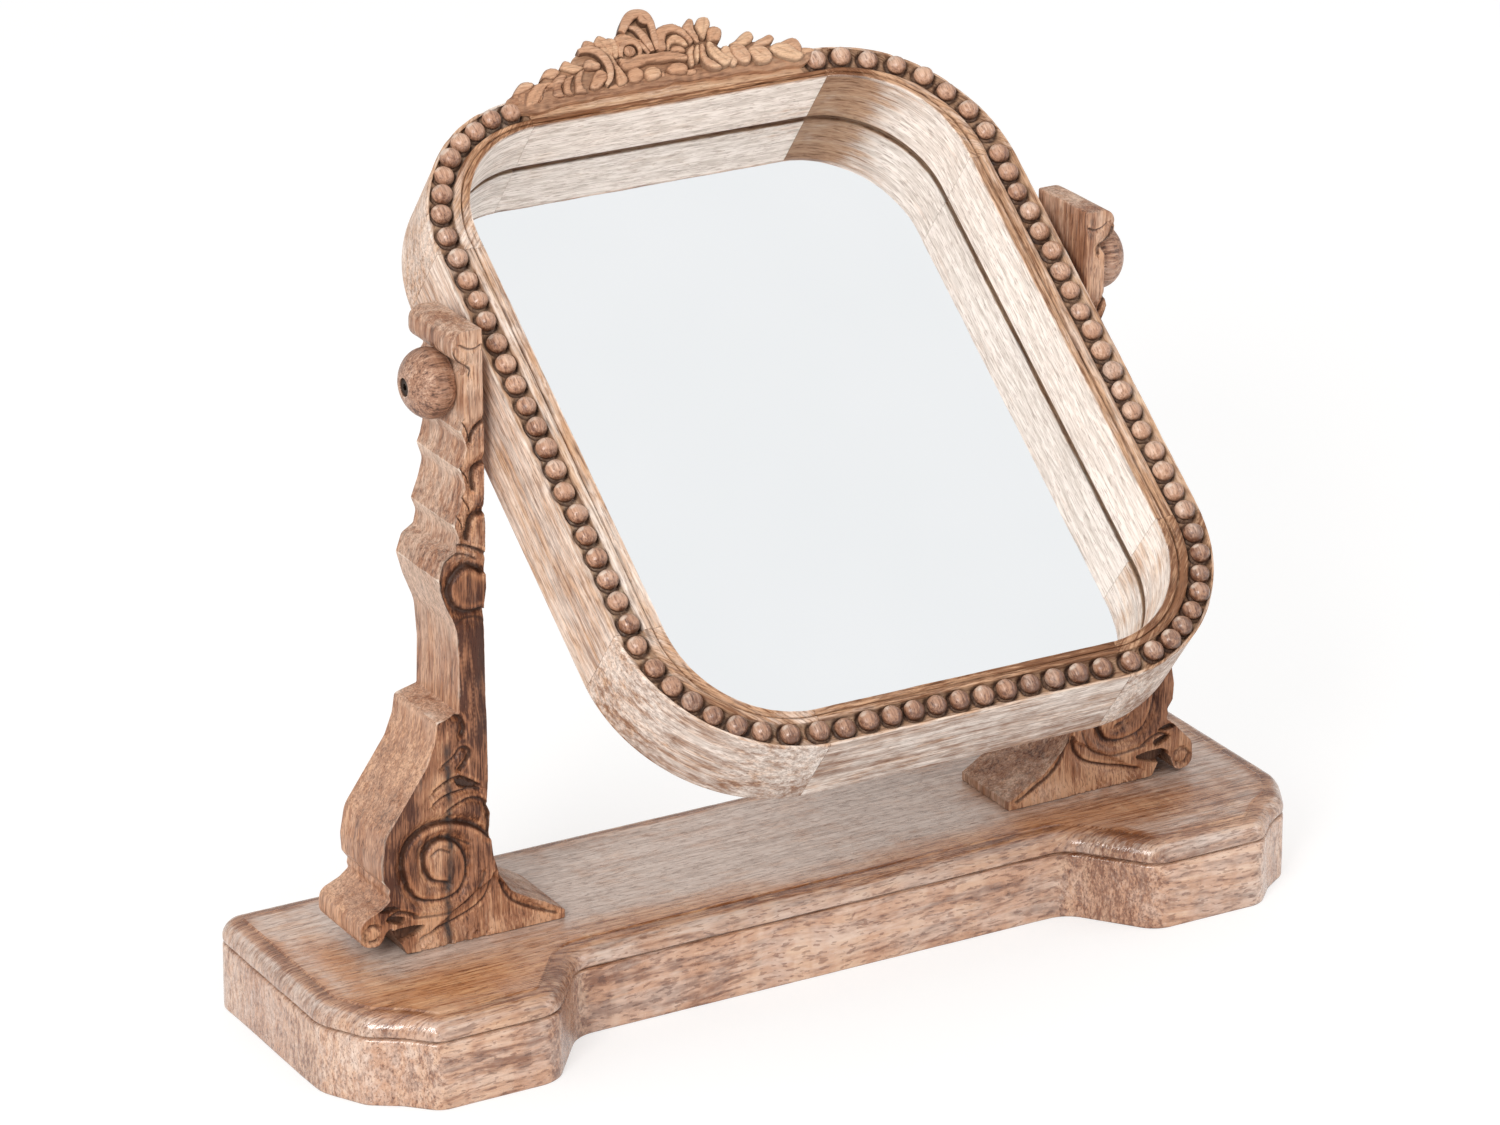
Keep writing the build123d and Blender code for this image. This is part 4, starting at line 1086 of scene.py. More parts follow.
def section_row(node, piece, item, beads, seed):
    """One line of the section along a piece: points as (x, v, depth), wash, darkening as painted shade (in
    the quirk by the glass, the lip's groove, round each bead and along the gouges) and pale edges.
    """
    spans, count, corner = piece
    base, place, depth, wash, dirt, pale = item
    line = stretch_within(nested(base, place), spans, count)
    deep, darkening = np.full(count, depth, float), np.full(count, dirt, float)
    if base == "beads":
        # The floor is cut in deepest round each bead
        gap = np.min([np.hypot(*(line - bead).T) for bead in beads], axis=0)
        moat = bell(gap - 6.1, 1.0)
        deep += 1.5 * moat + 0.25 * ripple(np.column_stack([line, deep]), 3.0, seed) * (abs(place) < 6)
        # Painted shade in the moat round each bead and on the floor under it
        darkening = np.clip(darkening + 0.75 * moat + 0.3 * (gap < 5.2), 0, 1)
        if node == "frame_top_rail":
            x = line[:, 0]
            under = step_up(CREST_LEFT - 2.5, CREST_LEFT + 0.5, x)
            under *= step_up(CREST_RIGHT + 2.5, CREST_RIGHT - 0.5, x)
            deep = deep * (1 - under) + under * (BEAD_FLOOR + 0.1 * ripple(line, 9.0, seed + 8))
            darkening = darkening * (1 - under) + 0.1 * under
    elif depth < 3.0:
        # Long gouge marks on what lies near the front
        along = np.arange(count) * 0.9
        gouge = ripple(np.column_stack([along * 0.05, np.full(count, place * 16.0)]), 1.6, seed + 1)
        deep += 0.24 * gouge + 0.10 * ripple(np.column_stack([line, deep * 2]), 6.0, seed + 7) + 0.1
        if base == "share":
            darkening = np.clip(darkening + 0.55 * step_up(0.3, 1.0, gouge), 0, 1)
    if base == "outer" and not corner:
        away = line - line.mean(0)
        away /= np.maximum(np.linalg.norm(away, axis=1, keepdims=True), 1e-6)
        sway = ripple(np.column_stack([line, deep]), 40.0, seed + 2)
        line = line - away * (0.12 + 0.12 * sway)[:, None] * 0.6
    points = np.column_stack([line, deep])
    if base == "opening" and 2 < depth < 38:
        wash = wash + 0.14 * ripple(points, 26.0, seed + 3)
    return points, wash + np.zeros(count), darkening, pale * (0.55 + 0.45 * ripple(line, 22.0, seed + 4))


def section_part(count, test):
    """1 for the points of those lines of the section that a test on (line, depth) picks."""
    return np.repeat([test(base, depth) for base, _, depth, *_ in SECTION], count)


def frame_grain(node, flat, piece):
    """Grain along each rail, and on a corner block across the corner, with its inner wall cut round."""
    (x_span, v_span), count, corner = piece
    if not corner:
        return flat if node in ("frame_top_rail", "frame_bottom_rail") else flat[:, [1, 0, 2]]
    turn = math.radians(45.0 if (x_span[0] > 0) == (v_span[0] > 0) else -45.0)
    along = flat[:, 0] * math.cos(turn) - flat[:, 1] * math.sin(turn)
    across = flat[:, 0] * math.sin(turn) + flat[:, 1] * math.cos(turn)
    opening = section_part(count, lambda base, depth: base == "opening")
    along = np.where(opening, np.tile(np.arange(count) * 0.85, len(SECTION)), along)
    return np.column_stack([along, np.where(opening, 0.0, across), flat[:, 2]])


def frame_finish(node, flat, count, wash, dirt, seed):
    """Finish of a piece: whitest on the inner walls and the lip's left, browner low on the lip and on the
    right, with painted shade on the outer walls below.
    """
    x, v = flat[:, 0], flat[:, 1]
    wall = section_part(count, lambda base, depth: base == "opening" and 2 < depth < 38.5)
    side = section_part(count, lambda base, depth: base == "outer" and depth > 1)
    lip = section_part(count, lambda base, depth: base == "share")
    rim = section_part(count, lambda base, depth: base == "beads" or base == "outer" and depth < 1)
    tone = np.full(len(flat), 0.5)
    # Painted shade on the outer walls low on the frame: darker, browner and less washed
    below = side * step_up(-150, -235, v)
    dirt = dirt + 0.07 * below
    if node == "frame_corner_top_right":
        unwashed = wall * step_up(152, 106, x + 5.0 * ripple(flat, 30.0, 5))
        wash -= 1.0 * unwashed
        tone -= 0.04 * unwashed
        dirt = np.maximum(dirt, 0.42 * unwashed)
    if node == "frame_top_rail":
        wash -= 0.28 * wall * step_up(35, 95, x)
    if node == "frame_corner_bottom_right":
        wash -= 0.46 * wall
        tone += 0.10 * wall
    lower = lip * step_up(-120, -225, v)
    brown = lip * step_up(78, 112, v) * step_up(130, 100, x)
    on_left = step_up(60, -60, x)
    wash += lip * on_left * (0.20 + 0.14 * ripple(flat, 60.0, seed + 9)) - 0.26 * lower - 0.04 * below
    wash -= 0.24 * rim * (1 - on_left) + 0.45 * brown
    tone -= 0.17 * below + 0.06 * side + (0.07 * lip + 0.08 * rim) * (1 - on_left)
    tone -= 0.14 * lower + 0.24 * brown
    return {"wash": wash, "tone": tone, "dirt": dirt,
            "amber": 0.25 * side * (1 - 0.8 * below) + 0.08 * lip + 0.30 * brown}


def carved_bead(shape, spot, number, seed):
    """A bead on the floor of the frame, each with its own grain: lighter towards the upper left as a painted
    highlight, with painted shade at its lower right and round its foot, and darker low on the frame.
    """
    ball, faces, random = bead_mesh(seed * 100 + number)
    depth = ball[:, 1] + (0.55 + 0.3 * random.normal())
    # Painted light: towards the upper left the bead is washed paler and lighter with a painted highlight;
    # towards the lower right and round its foot it gets painted shade
    lit = (ball @ np.array([-0.5, -0.6, 0.6])) / BEAD_SIZE
    lower, low = step_up(-140, -225, spot[1]), step_up(0.2, 2.0, depth)
    shape.add(stand_up(spot[0] + ball[:, 0], spot[1] + ball[:, 2], np.maximum(depth, -5.4)), faces,
              ball[:, [2, 0, 1]] + (7.0 * number, 0.0, 0.0) + seed * 9.0, shade=1,
              wash=0.16 - 0.10 * lower + 0.10 * random.normal() + 0.26 * lit,
              tone=0.45 - 0.20 * lower + 0.18 * lit + 0.05 * random.normal(),
              dirt=np.clip(0.14 * lower + 0.9 * low + 0.6 * step_up(0.0, -0.6, lit), 0, 0.92),
              pale=0.62 * step_up(0.74, 0.95, lit))


def frame_piece(node, spans, seed):
    """A rail or corner block: the section swept along its part of the frame, with its beads."""
    (x0, x1), (v0, v1) = spans
    corner = "corner" in node
    count = 128 if corner else 240 if node in ("frame_left_rail", "frame_right_rail") else 180
    piece = (((x0 + JOINT_GAP, x1 - JOINT_GAP), (v0 + JOINT_GAP, v1 - JOINT_GAP)), count, corner)
    beads = [(x, v) for x, v in BEADS if x0 - BESIDE < x < x1 + BESIDE and v0 - BESIDE < v < v1 + BESIDE]
    flat, wash, dirt, pale = (np.concatenate(values) for values in
                              zip(*(section_row(node, piece, item, beads, seed) for item in SECTION)))
    rows = len(SECTION)
    last = (rows - 1) * count
    faces = ring_faces(rows, count, closed=False)
    faces += [(last + n, last + n + 1, n + 1, n) for n in range(count - 1)]
    faces.append(tuple(k * count for k in range(rows)))
    faces.append(tuple(k * count + count - 1 for k in reversed(range(rows))))
    shape = Shape()
    shape.add(stand_up(*flat.T), faces, frame_grain(node, flat, piece) + seed * 43.0, pale=pale,
              **frame_finish(node, flat, count, wash, dirt, seed))
    for number, spot in enumerate((x, v) for x, v in beads if x0 < x < x1 and v0 < v < v1):
        carved_bead(shape, spot, number, seed)
    shape.build(node + "_moulded", [frame_wood, bead_wood], "tilting_mirror", [node], crease=42)


for number, (node, spans) in enumerate(PIECES.items()):
    frame_piece(node, spans, 51 + number)

# Crest: rounded leaves, scrolls and balls over a low ground. They are drawn on a slanted sheet,
# right and down, that turns into x and v on the frame.

CREST_V = 150.0           # up the frame, at the middle of the sheet
CREST_LIMIT = -8.35       # depth that no form stands out beyond
BEHIND_EDGE = 150.6, 7.8  # from this v up the crest's back lies this deep, behind the frame's edge
SIDES_FOOT = -1.2         # depth at which the forms' sides end, inside the ground
PIN_SPACING, PIN_LINE = 60.0, 145.5


def sheet(points):
    """Points of the sheet as x and v on the frame."""
    x, y = (np.asarray(points, float) - (757.0, 381.0)).T
    return np.column_stack([0.0947 * x - 0.04596 * y, CREST_V - 0.01789 * x - 0.10445 * y])


# Carved forms: outline, height of the edge, crown, rounding, slope across and up, crease
FORMS = [
    # Spray on the left
    ([(-176, 545), (-150, 495), (-123, 470), (-90, 465), (-53, 477), (-60, 500), (-97, 520), (-140, 540)],
     3.4, 1.7, 4.0, (0.02, -0.04)),
    ([(-200, 585), (-170, 540), (-125, 523), (-92, 516), (-95, 560), (-100, 603), (-130, 612), (-165, 603)],
     2.6, 1.3, 4.0, (0.03, 0), [(-140, 530), (-125, 600)]),
    ([(-90, 540), (-50, 488), (-17, 475), (43, 468), (63, 480), (17, 503), (-6, 555), (-30, 592), (-70, 612),
     (-100, 606)], 3.4, 1.8, 3.6, (0.03, 0.02), [(-62, 600), (-40, 540), (0, 490)]),
    ([(-20, 462), (-3, 420), (17, 397), (50, 388), (80, 395), (99, 412), (70, 446), (48, 456), (8, 448)], 4.0,
     1.8, 3.8, (0.02, -0.03), [(-2, 446), (40, 440), (76, 428)]),
    ([(44, 468), (97, 423), (137, 430), (134, 460), (110, 497), (125, 552), (97, 560), (60, 548), (55, 505),
     (10, 530), (5, 560), (-20, 590), (-25, 575), (12, 505)], 3.6, 1.5, 3.0, (0.02, 0), [(60, 470),
     (70, 545)]),
    ([(92, 392), (117, 350), (150, 355), (180, 371), (233, 385), (223, 406), (177, 424), (137, 412),
     (97, 400)], 4.4, 1.9, 3.6, (0, -0.02), [(120, 385), (215, 398)]),
    ([(115, 508), (121, 463), (150, 441), (180, 435), (163, 477), (163, 528), (186, 549), (150, 551),
     (121, 535)], 4.6, 1.6, 2.6, (-0.03, 0)),
    ([(182, 520), (181, 457), (201, 421), (239, 401), (231, 430), (223, 477), (239, 520), (260, 538),
     (205, 545), (186, 540)], 5.2, 1.6, 2.6, (-0.02, 0)),
    ([(20, 600), (60, 575), (120, 560), (190, 552), (255, 545), (300, 528), (300, 512), (230, 520),
     (150, 532), (60, 545), (0, 570), (-60, 600), (-90, 615), (-30, 618)], 2.0, 1.2, 2.6),
    # Leaves round the large scroll
    ([(203, 300), (225, 255), (235, 228), (262, 224), (292, 236), (306, 262), (292, 292), (250, 285)], 4.2,
     1.5, 3.4, (0, -0.05), [(225, 285), (258, 240)]),
    ([(292, 250), (303, 215), (322, 196), (350, 206), (392, 235), (412, 290), (400, 330), (350, 280),
     (310, 270)], 4.6, 1.7, 3.4, (0, -0.04), [(318, 225), (372, 290)]),
    ([(352, 250), (370, 214), (402, 216), (432, 232), (446, 280), (436, 330), (410, 330), (384, 285)], 4.8,
     1.5, 3.0, (0, -0.04), [(385, 232), (412, 300)]),
    ([(410, 222), (440, 193), (470, 190), (530, 216), (578, 236), (548, 250), (500, 238), (455, 262),
     (430, 290)], 5.4, 1.5, 3.0, (0, -0.02), [(440, 225), (505, 226)]),
    ([(325, 292), (372, 320), (400, 372), (418, 420), (425, 470), (440, 500), (480, 488), (494, 460),
     (462, 410), (425, 360), (392, 305), (345, 258)], 5.0, 1.7, 2.8, (0.03, 0), [(352, 280), (410, 360),
     (455, 470)]),
    ([(270, 500), (297, 425), (330, 403), (370, 428), (379, 463), (352, 492), (312, 522), (283, 519)], 5.0,
     2.2, 4.0),
    ([(230, 386), (236, 357), (268, 345), (300, 360), (332, 377), (325, 403), (270, 406), (237, 400)], 5.4,
     1.8, 2.6, (0, 0), [(252, 372), (285, 380), (275, 395)]),
    ([(380, 500), (420, 480), (480, 470), (500, 486), (450, 506), (400, 512)], 3.2, 1.6, 2.6),
    # Stem and berries in the middle
    ([(438, 345), (500, 345), (560, 318), (640, 314), (700, 300), (770, 305), (838, 322), (842, 352),
     (770, 352), (700, 362), (620, 366), (560, 390), (500, 410), (455, 400)], 6.0, 1.6, 2.8, (0, 0),
     [(480, 372), (580, 342), (720, 330), (820, 338)]),
    ([(490, 440), (500, 398), (545, 386), (585, 408), (592, 440), (560, 472), (510, 472)], 4.0, 2.7, 3.8),
    ([(588, 430), (600, 395), (640, 384), (682, 400), (695, 430), (670, 455), (620, 465)], 4.2, 2.8, 3.8),
    ([(722, 400), (745, 372), (780, 362), (825, 368), (853, 395), (836, 424), (780, 430), (740, 422)], 4.6,
     2.7, 3.8),
    ([(846, 400), (870, 392), (900, 398), (905, 418), (870, 428), (848, 422)], 3.8, 1.8, 2.4),
    ([(690, 425), (705, 400), (720, 415), (715, 440)], 3.4, 1.2, 1.6),
    # Arched leaf: outer band, inner band, and the eye under them
    ([(672, 300), (652, 230), (652, 178), (680, 152), (740, 135), (795, 150), (842, 188), (880, 236),
     (862, 256), (838, 232), (796, 196), (756, 186), (724, 200), (712, 240), (720, 288)], 6.0, 1.7, 2.3),
    ([(722, 285), (718, 240), (734, 212), (764, 194), (800, 204), (838, 236), (852, 262), (828, 268),
     (800, 250), (768, 248), (748, 262), (742, 288)], 5.2, 1.7, 2.2),
    ([(748, 292), (752, 268), (790, 258), (828, 270), (840, 296), (800, 304)], 4.4, 2.0, 2.8),
    # Fan of three
    ([(812, 160), (838, 113), (860, 96), (884, 118), (888, 165), (912, 214), (915, 250), (880, 232),
     (842, 186)], 5.4, 2.2, 3.6, (0, -0.03), [(860, 112), (866, 170), (905, 240)]),
    ([(890, 152), (905, 106), (942, 91), (972, 104), (982, 140), (962, 182), (946, 226), (918, 206),
     (898, 170)], 6.0, 2.2, 3.8, (0, -0.03), [(945, 105), (940, 160), (936, 214)]),
    ([(960, 205), (966, 162), (1000, 144), (1042, 156), (1053, 186), (1040, 232), (1002, 234), (972, 240)],
     5.4, 2.0, 3.8, (0, -0.03), [(1030, 168), (985, 225)]),
    # Ribs that sweep down to the right
    ([(842, 296), (872, 262), (890, 276), (884, 320), (890, 372), (868, 388), (850, 352)], 5.4, 1.6, 2.4),
    ([(886, 290), (898, 262), (915, 270), (917, 322), (912, 362), (896, 362), (884, 328)], 6.4, 1.6, 2.2),
    ([(914, 312), (918, 262), (946, 268), (960, 328), (1010, 368), (1052, 398), (1010, 408), (962, 396),
     (928, 358)], 6.6, 1.6, 2.6, (0, 0), [(934, 290), (958, 345), (1015, 392)]),
    ([(954, 262), (972, 242), (1010, 272), (1062, 318), (1110, 338), (1100, 372), (1062, 388), (1010, 356),
     (970, 312)], 6.6, 1.6, 2.8, (0, 0), [(978, 268), (1020, 325), (1075, 362)]),
    # Laurel on the right
    ([(1044, 292), (1062, 262), (1100, 268), (1120, 312), (1150, 350), (1128, 384), (1092, 366), (1060, 330)],
     5.0, 1.8, 3.6),
    ([(1096, 276), (1125, 254), (1165, 256), (1206, 290), (1228, 338), (1206, 372), (1160, 362), (1120, 330)],
     6.0, 2.0, 4.4, (0, 0), [(1125, 275), (1185, 330)]),
    ([(1100, 250), (1132, 228), (1172, 188), (1212, 167), (1246, 196), (1238, 228), (1196, 258), (1150, 262)],
     4.6, 2.0, 4.0, (0, -0.04), [(1145, 240), (1215, 195)]),
    ([(1206, 290), (1236, 262), (1282, 262), (1328, 284), (1357, 328), (1332, 362), (1272, 366), (1236, 336)],
     5.8, 2.0, 4.4, (0, 0), [(1238, 288), (1310, 335)]),
    ([(1232, 262), (1262, 226), (1300, 206), (1342, 186), (1372, 210), (1346, 244), (1300, 262), (1262, 272)],
     4.4, 2.0, 4.0, (0, -0.04), [(1262, 250), (1340, 208)]),
    ([(1336, 276), (1386, 242), (1450, 248), (1508, 286), (1548, 316), (1508, 347), (1430, 334), (1370, 308)],
     5.2, 2.0, 4.4, (-0.01, 0), [(1375, 276), (1500, 322)]),
    ([(1396, 244), (1438, 216), (1480, 201), (1514, 214), (1540, 252), (1536, 292), (1500, 290), (1450, 252)],
     3.8, 1.8, 3.8, (-0.01, -0.03), [(1440, 236), (1505, 232)]),
    ([(1516, 266), (1558, 253), (1612, 258), (1622, 276), (1575, 296), (1550, 306)], 2.6, 1.4, 3.0,
     (-0.01, 0)),
]
SKYLINE = [(-215, 575), (-185, 548), (-153, 497), (-123, 473), (-90, 467), (-43, 476), (-15, 462), (0, 419),
           (25, 396), (63, 391), (90, 390), (119, 353), (150, 360), (172, 324), (199, 297), (220, 256),
           (238, 230), (298, 240), (322, 200), (350, 210), (410, 222), (440, 198), (458, 178), (473, 132),
           (492, 84), (517, 62), (550, 58), (588, 68), (613, 88), (633, 122), (648, 150), (680, 156),
           (702, 148), (740, 138), (780, 143), (808, 162), (826, 136), (842, 114), (860, 99), (884, 124),
           (905, 108), (942, 94), (968, 106), (984, 140), (1020, 148), (1048, 166), (1048, 192), (1034, 236),
           (1062, 256), (1102, 246), (1150, 210), (1190, 176), (1213, 171), (1243, 200), (1252, 218),
           (1300, 206), (1340, 189), (1368, 214), (1362, 240), (1420, 236), (1470, 208), (1502, 212),
           (1532, 246), (1560, 258), (1610, 262), (1626, 282)]
FOOT = [(1590, 300), (1540, 338), (1450, 345), (1350, 372), (1260, 372), (1160, 384), (1050, 410), (960, 414),
        (860, 434), (780, 436), (700, 464), (570, 484), (440, 508), (320, 526), (257, 545), (137, 564),
        (17, 606), (-43, 623), (-97, 622), (-163, 620), (-210, 600)]
# Rounded stems: line, half widths along it, height
SCROLLS = [
    # Large scroll on the left
    ([(200, 303), (250, 293), (303, 305), (342, 336), (372, 378), (386, 425), (384, 470), (366, 500)],
     [1.4, 2.2, 2.6, 2.6, 2.4, 2.1, 1.6, 1], 6),
    # Tall scroll at the peak, with its curled end
    ([(452, 190), (478, 128), (508, 88), (550, 76), (590, 86), (616, 118), (634, 165), (650, 230),
     (668, 292)], [2, 2.6, 2.9, 2.9, 2.7, 2.3, 2, 2, 1.2], 5.9),
    ([(616, 112), (600, 128), (570, 118), (562, 96)], [1.4, 1.8, 2.1, 1.5], 6.3),
    # Ribs below it
    ([(496, 150), (540, 168), (580, 208), (618, 262), (640, 296)], [1.2, 2.2, 2.6, 2.4, 1.4], 5.2),
    ([(455, 215), (500, 218), (552, 236), (592, 274), (622, 306)], [1.8, 1.7, 1.5, 1.5, 1], 4.6),
    # Ring round the small ball
    ([(452, 330), (450, 280), (470, 250), (510, 240), (548, 256), (566, 292), (560, 322)],
     [1.2, 1.7, 1.8, 1.8, 1.7, 1.4, 0.9], 5),
]
BALL, BALL_RADIUS, BALL_TOP = (505, 292), 3.3, 4.4


def lump(shape, seed, outline, edge, crown, roll, slope=(0, 0), crease=()):
    """One carved form: rounded over from its edge, with sides down into the ground."""
    ring = curve_through(sheet(outline), 0.7, closed=True)
    flat, faces = filled(ring, 0.95)
    count, total = len(ring), len(flat)
    inward = near(flat, ring)
    inward[:count] = 0.0
    bulge = np.sqrt(np.clip(1 - (1 - np.minimum(inward / roll, 1.0)) ** 2, 0, 1))
    height = edge + crown * bulge + (flat - ring.mean(0)) @ np.array(slope)
    height += 0.16 * ripple(flat, 4.2, seed) * bulge + 0.05 * ripple(flat, 1.7, seed + 1)
    # Painted shade along the form's edge and in its crease, and on its sides down into the ground
    dirt = 0.66 * bell(inward, 0.36)
    if crease:
        gap = near(flat, curve_through(sheet(crease), 0.4))
        height -= 0.55 * bell(gap, 0.75) * bulge
        dirt = np.maximum(dirt, 0.36 * bell(gap, 0.45))
    points = np.vstack([np.column_stack([flat, np.maximum(-height, CREST_LIMIT)]),
                        np.column_stack([ring, np.full(count, SIDES_FOOT)])])
    faces += skirt(count, total) + [tuple(total + n for n in range(count))]
    tone = 0.47 + 0.10 * math.sin(seed * 2.3) + 0.12 * step_up(-70, 50, points[:, 0])
    # Painted highlight on the highest tops
    shape.add(stand_up(*points.T), faces, points + (2.0 * seed, 0, 0),
              wash=0.24 + 0.10 * math.sin(seed * 1.7),
              dirt=np.concatenate([0.85 * dirt, np.full(count, 0.7)]), tone=tone, amber=0.16,
              pale=np.concatenate([0.30 * step_up(6.2, 7.8, height), np.zeros(count)]))


def scroll(shape, line, widths, lift, seed, section=16):
    """Rounded stem that follows a line and swells or thins along it, with sides down into the ground."""
    path = curve_through(sheet(line), 0.8)
    count = len(path)
    widths = np.interp(np.linspace(0, 1, count), np.linspace(0, 1, len(widths)), widths)
    ways = np.gradient(path, axis=0)
    ways /= np.linalg.norm(ways, axis=1, keepdims=True)
    turn = np.linspace(0, math.pi, section)
    top = np.vstack([np.column_stack([spot - np.cos(turn)[:, None] * wide * np.array([-way[1], way[0]]),
                                      -(lift + np.sin(turn) ** 0.75 * min(wide, 2.3))])
                     for spot, way, wide in zip(path, ways, widths)])
    top[:, 2] = np.maximum(top[:, 2] + 0.08 * ripple(top[:, :2], 2.5, seed), CREST_LIMIT)
    feet = np.vstack([top[::section], top[section - 1::section]])
    feet[:, 2] = SIDES_FOOT
    base, last = len(top), (count - 1) * section
    faces = ring_faces(count, section, closed=False)
    for n in range(count - 1):
        start, left, right = n * section, base + n, base + count + n
        faces += [(start, start + section, left + 1, left),
                  (start + section - 1, right, right + 1, start + 2 * section - 1),
                  (left, left + 1, right + 1, right)]
    faces += [(*range(section), base + count, base),
              (*range(last + section - 1, last - 1, -1), base + count - 1, base + 2 * count - 1)]
    points = np.vstack([top, feet])
    # Painted shade down the stem's sides and on its feet; painted highlight on its highest parts
    dirt = np.concatenate([np.tile(0.85 * bell(np.sin(turn), 0.34), count), np.full(2 * count, 0.88)])
    shape.add(stand_up(*points.T), faces, points + (3.0 * seed, 0, 0), wash=0.26, tone=0.52, dirt=dirt,
              pale=0.24 * step_up(-7.2, -8.2, points[:, 2]))


def ground(shape):
    """Low body behind the forms, over the bead floor and above the frame's edge."""
    line = curve_through(np.vstack([sheet(SKYLINE), sheet(FOOT) - (0.0, 2.2)]), 1.2, closed=True)
    line += (line.mean(0) - line) * np.array([0.006, 0.01])
    flat, faces = filled(line, 2.0)
    count, total = len(line), len(flat)
    rise = -(2.9 + 0.6 * step_up(0, 2.0, near(flat, line)) + 0.3 * ripple(flat, 5.0, 77))
    # Over its three pins the ground stands a little higher
    for x in (-PIN_SPACING, 0.0, PIN_SPACING):
        rise = np.minimum(rise, -4.3 * step_up(3.4, 1.9, np.hypot(*(flat - (x, PIN_LINE)).T)))
    rise[:count] = -2.6
    back = np.column_stack([flat, np.where(flat[:, 1] > BEHIND_EDGE[0], BEHIND_EDGE[1], BEAD_FLOOR)])
    front = np.vstack([np.column_stack([flat, rise]), back[:count]])
    # Painted shade over the ground between the forms
    shape.add(stand_up(*front.T), faces + skirt(count, total), front + 9.0, wash=0.2, tone=0.50, amber=0.2,
              dirt=np.concatenate([0.34 + 0.2 * ripple(flat, 6.0, 78), np.full(count, 0.12)]))
    shape.add(stand_up(*back.T), faces, back + 9.0, wash=0.2, dirt=0.1)


def ball(shape, seed):
    """The small ball inside the ring."""
    (x, v), = sheet([BALL])
    form, faces, _ = bead_mesh(seed, squash=0.9)
    form *= BALL_RADIUS / BEAD_SIZE
    # Painted shade on the ball's half towards the wood
    shape.add(stand_up(x + form[:, 0], v + form[:, 2], np.maximum(form[:, 1] - BALL_TOP, CREST_LIMIT)), faces,
              form[:, [2, 0, 1]] + seed, wash=0.3, dirt=0.75 * step_up(-0.5, 1.0, form[:, 1]), pale=0.12)


def crest():
    shape = Shape()
    ground(shape)
    for number, form in enumerate(FORMS):
        lump(shape, number + 1, *form)
    for number, (line, widths, lift) in enumerate(SCROLLS):
        scroll(shape, line, widths, lift, 61 + number)
    ball(shape, 701)
    shape.build("crest_carved", [crest_wood], "tilting_mirror", ["crest"], crease=50)


crest()

# Solids that show as they are

for material, nodes in (
    (plate, ["mirror_glass"]),
    (board_wood, ["back_panel"]),
    (dowel_wood, ["frame_dowels", "left_upright_dowels", "right_upright_dowels"]),
    (steel, ["base_screws", "left_upright_screws", "right_upright_screws", "back_panel_screws", "crest_pins",
             "left_spacer", "right_spacer"]),
    (brass, ["left_frame_insert", "right_frame_insert"]),
    (dark_steel, ["left_pivot_screw", "right_pivot_screw"]),
):
    for node in nodes:
        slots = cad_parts[node].data.materials
        slots.clear()
        slots.append(material)


# Studio: what the camera sees of floor and world is plain white; light and reflections get their own tints

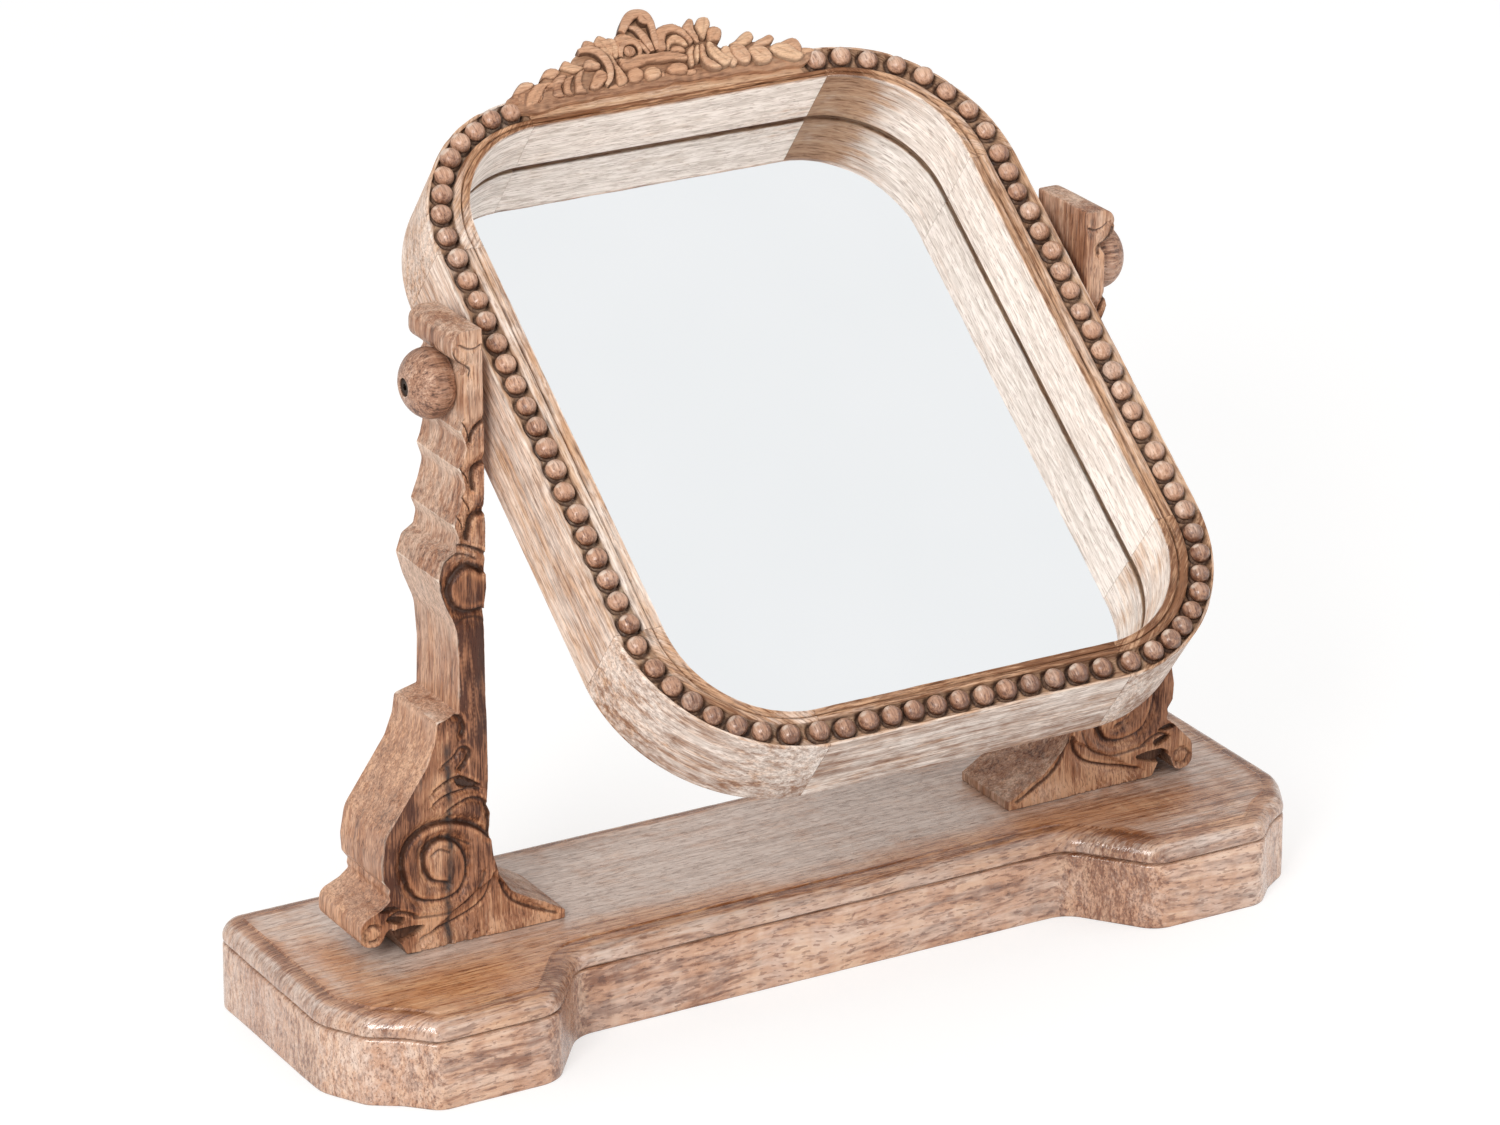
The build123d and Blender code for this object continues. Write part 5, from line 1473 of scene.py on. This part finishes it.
def floor(edge=6.0):
    mesh = bpy.data.meshes.new("studio_floor")
    corners = [(-edge, -edge, 0), (edge, -edge, 0), (edge, edge, 0), (-edge, edge, 0)]
    mesh.from_pydata(corners, [], [(0, 1, 2, 3)])
    n = Nodes(bpy.data.materials.new("studio_floor"))
    rays = n.new("ShaderNodeLightPath").outputs
    seen = n.math("MAXIMUM", rays["Is Camera Ray"],
                  n.math("MAXIMUM", rays["Is Glossy Ray"], rays["Is Transmission Ray"]))
    matt = n.fill(n.new("ShaderNodeBsdfDiffuse"), n.mix(seen, (0.86, 0.86, 0.86, 1), (0.46, 0.46, 0.46, 1)))
    glow = n.fill(n.new("ShaderNodeEmission"), (1, 1, 1, 1), n.times(seen, 0.62))
    n.fill(n.new("ShaderNodeOutputMaterial"), n.fill(n.new("ShaderNodeAddShader"), matt, glow))
    mesh.materials.append(n.owner)
    piece = linked("studio_floor", mesh)
    piece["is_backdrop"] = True


def surroundings():
    n = Nodes(bpy.data.worlds.new("studio"))
    scene.world = n.owner
    rays = n.new("ShaderNodeLightPath").outputs
    lit = n.fill(n.new("ShaderNodeBackground"), (1.0, 0.985, 0.97, 1), 0.74)
    shown = n.fill(n.new("ShaderNodeBackground"), (1, 1, 1, 1), 1.0)
    directions = n.new("ShaderNodeSeparateXYZ")
    n.fill(directions, n.new("ShaderNodeTexCoord").outputs["Generated"])
    height = n.fill(n.new("ShaderNodeMapRange"), directions.outputs["Z"], 0.25, 0.8)
    tint = n.mix(height, (0.48, 0.475, 0.47, 1), (0.93, 0.935, 0.94, 1))
    mirrored = n.fill(n.new("ShaderNodeBackground"), tint, 1.0)
    through = n.math("MAXIMUM", rays["Is Camera Ray"], rays["Is Transmission Ray"])
    first = n.fill(n.new("ShaderNodeMixShader"), rays["Is Glossy Ray"], lit, mirrored)
    n.fill(n.new("ShaderNodeOutputWorld"), n.fill(n.new("ShaderNodeMixShader"), through, first, shown))


def lamp(name, place, target, size, power, color):
    """A round soft light that looks from a place to a target."""
    light = bpy.data.lights.new(name, "AREA")
    light.shape = "DISK"
    light.size = size
    light.energy = power
    light.color = color
    piece = linked(name, light)
    piece.location = place
    piece.rotation_euler = (Vector(target) - Vector(place)).to_track_quat("-Z", "Y").to_euler()


floor()
surroundings()
lamp("key", (-2.5, -2.1, 1.9), (0, 0, 0.2), 1.3, 66.0, (1.0, 0.985, 0.97))
lamp("fill", (2.4, -1.6, 1.2), (0, 0, 0.25), 1.8, 14.0, (0.985, 0.99, 1.0))

# Camera, at the photograph's place

AZIMUTH, ELEVATION = math.radians(-29.77), math.radians(21.9)
DISTANCE, LENS = 3.36179, 151.2
target = Vector((-0.01235, 0.0, 0.22122))
back = Vector((math.sin(AZIMUTH) * math.cos(ELEVATION), -math.cos(AZIMUTH) * math.cos(ELEVATION),
               math.sin(ELEVATION)))
lens = bpy.data.cameras.new("camera")
lens.sensor_fit = "HORIZONTAL"
lens.sensor_width = 36.0
lens.lens = LENS
camera = linked("camera", lens)
camera.location = target + back * DISTANCE
camera.rotation_euler = (math.pi / 2 - ELEVATION, 0.0, AZIMUTH)
scene.camera = camera
scene.view_settings.view_transform = "Standard"

boxes = [[[round(c, 5) for c in corner] for corner in box] for box in (cad_box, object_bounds())]
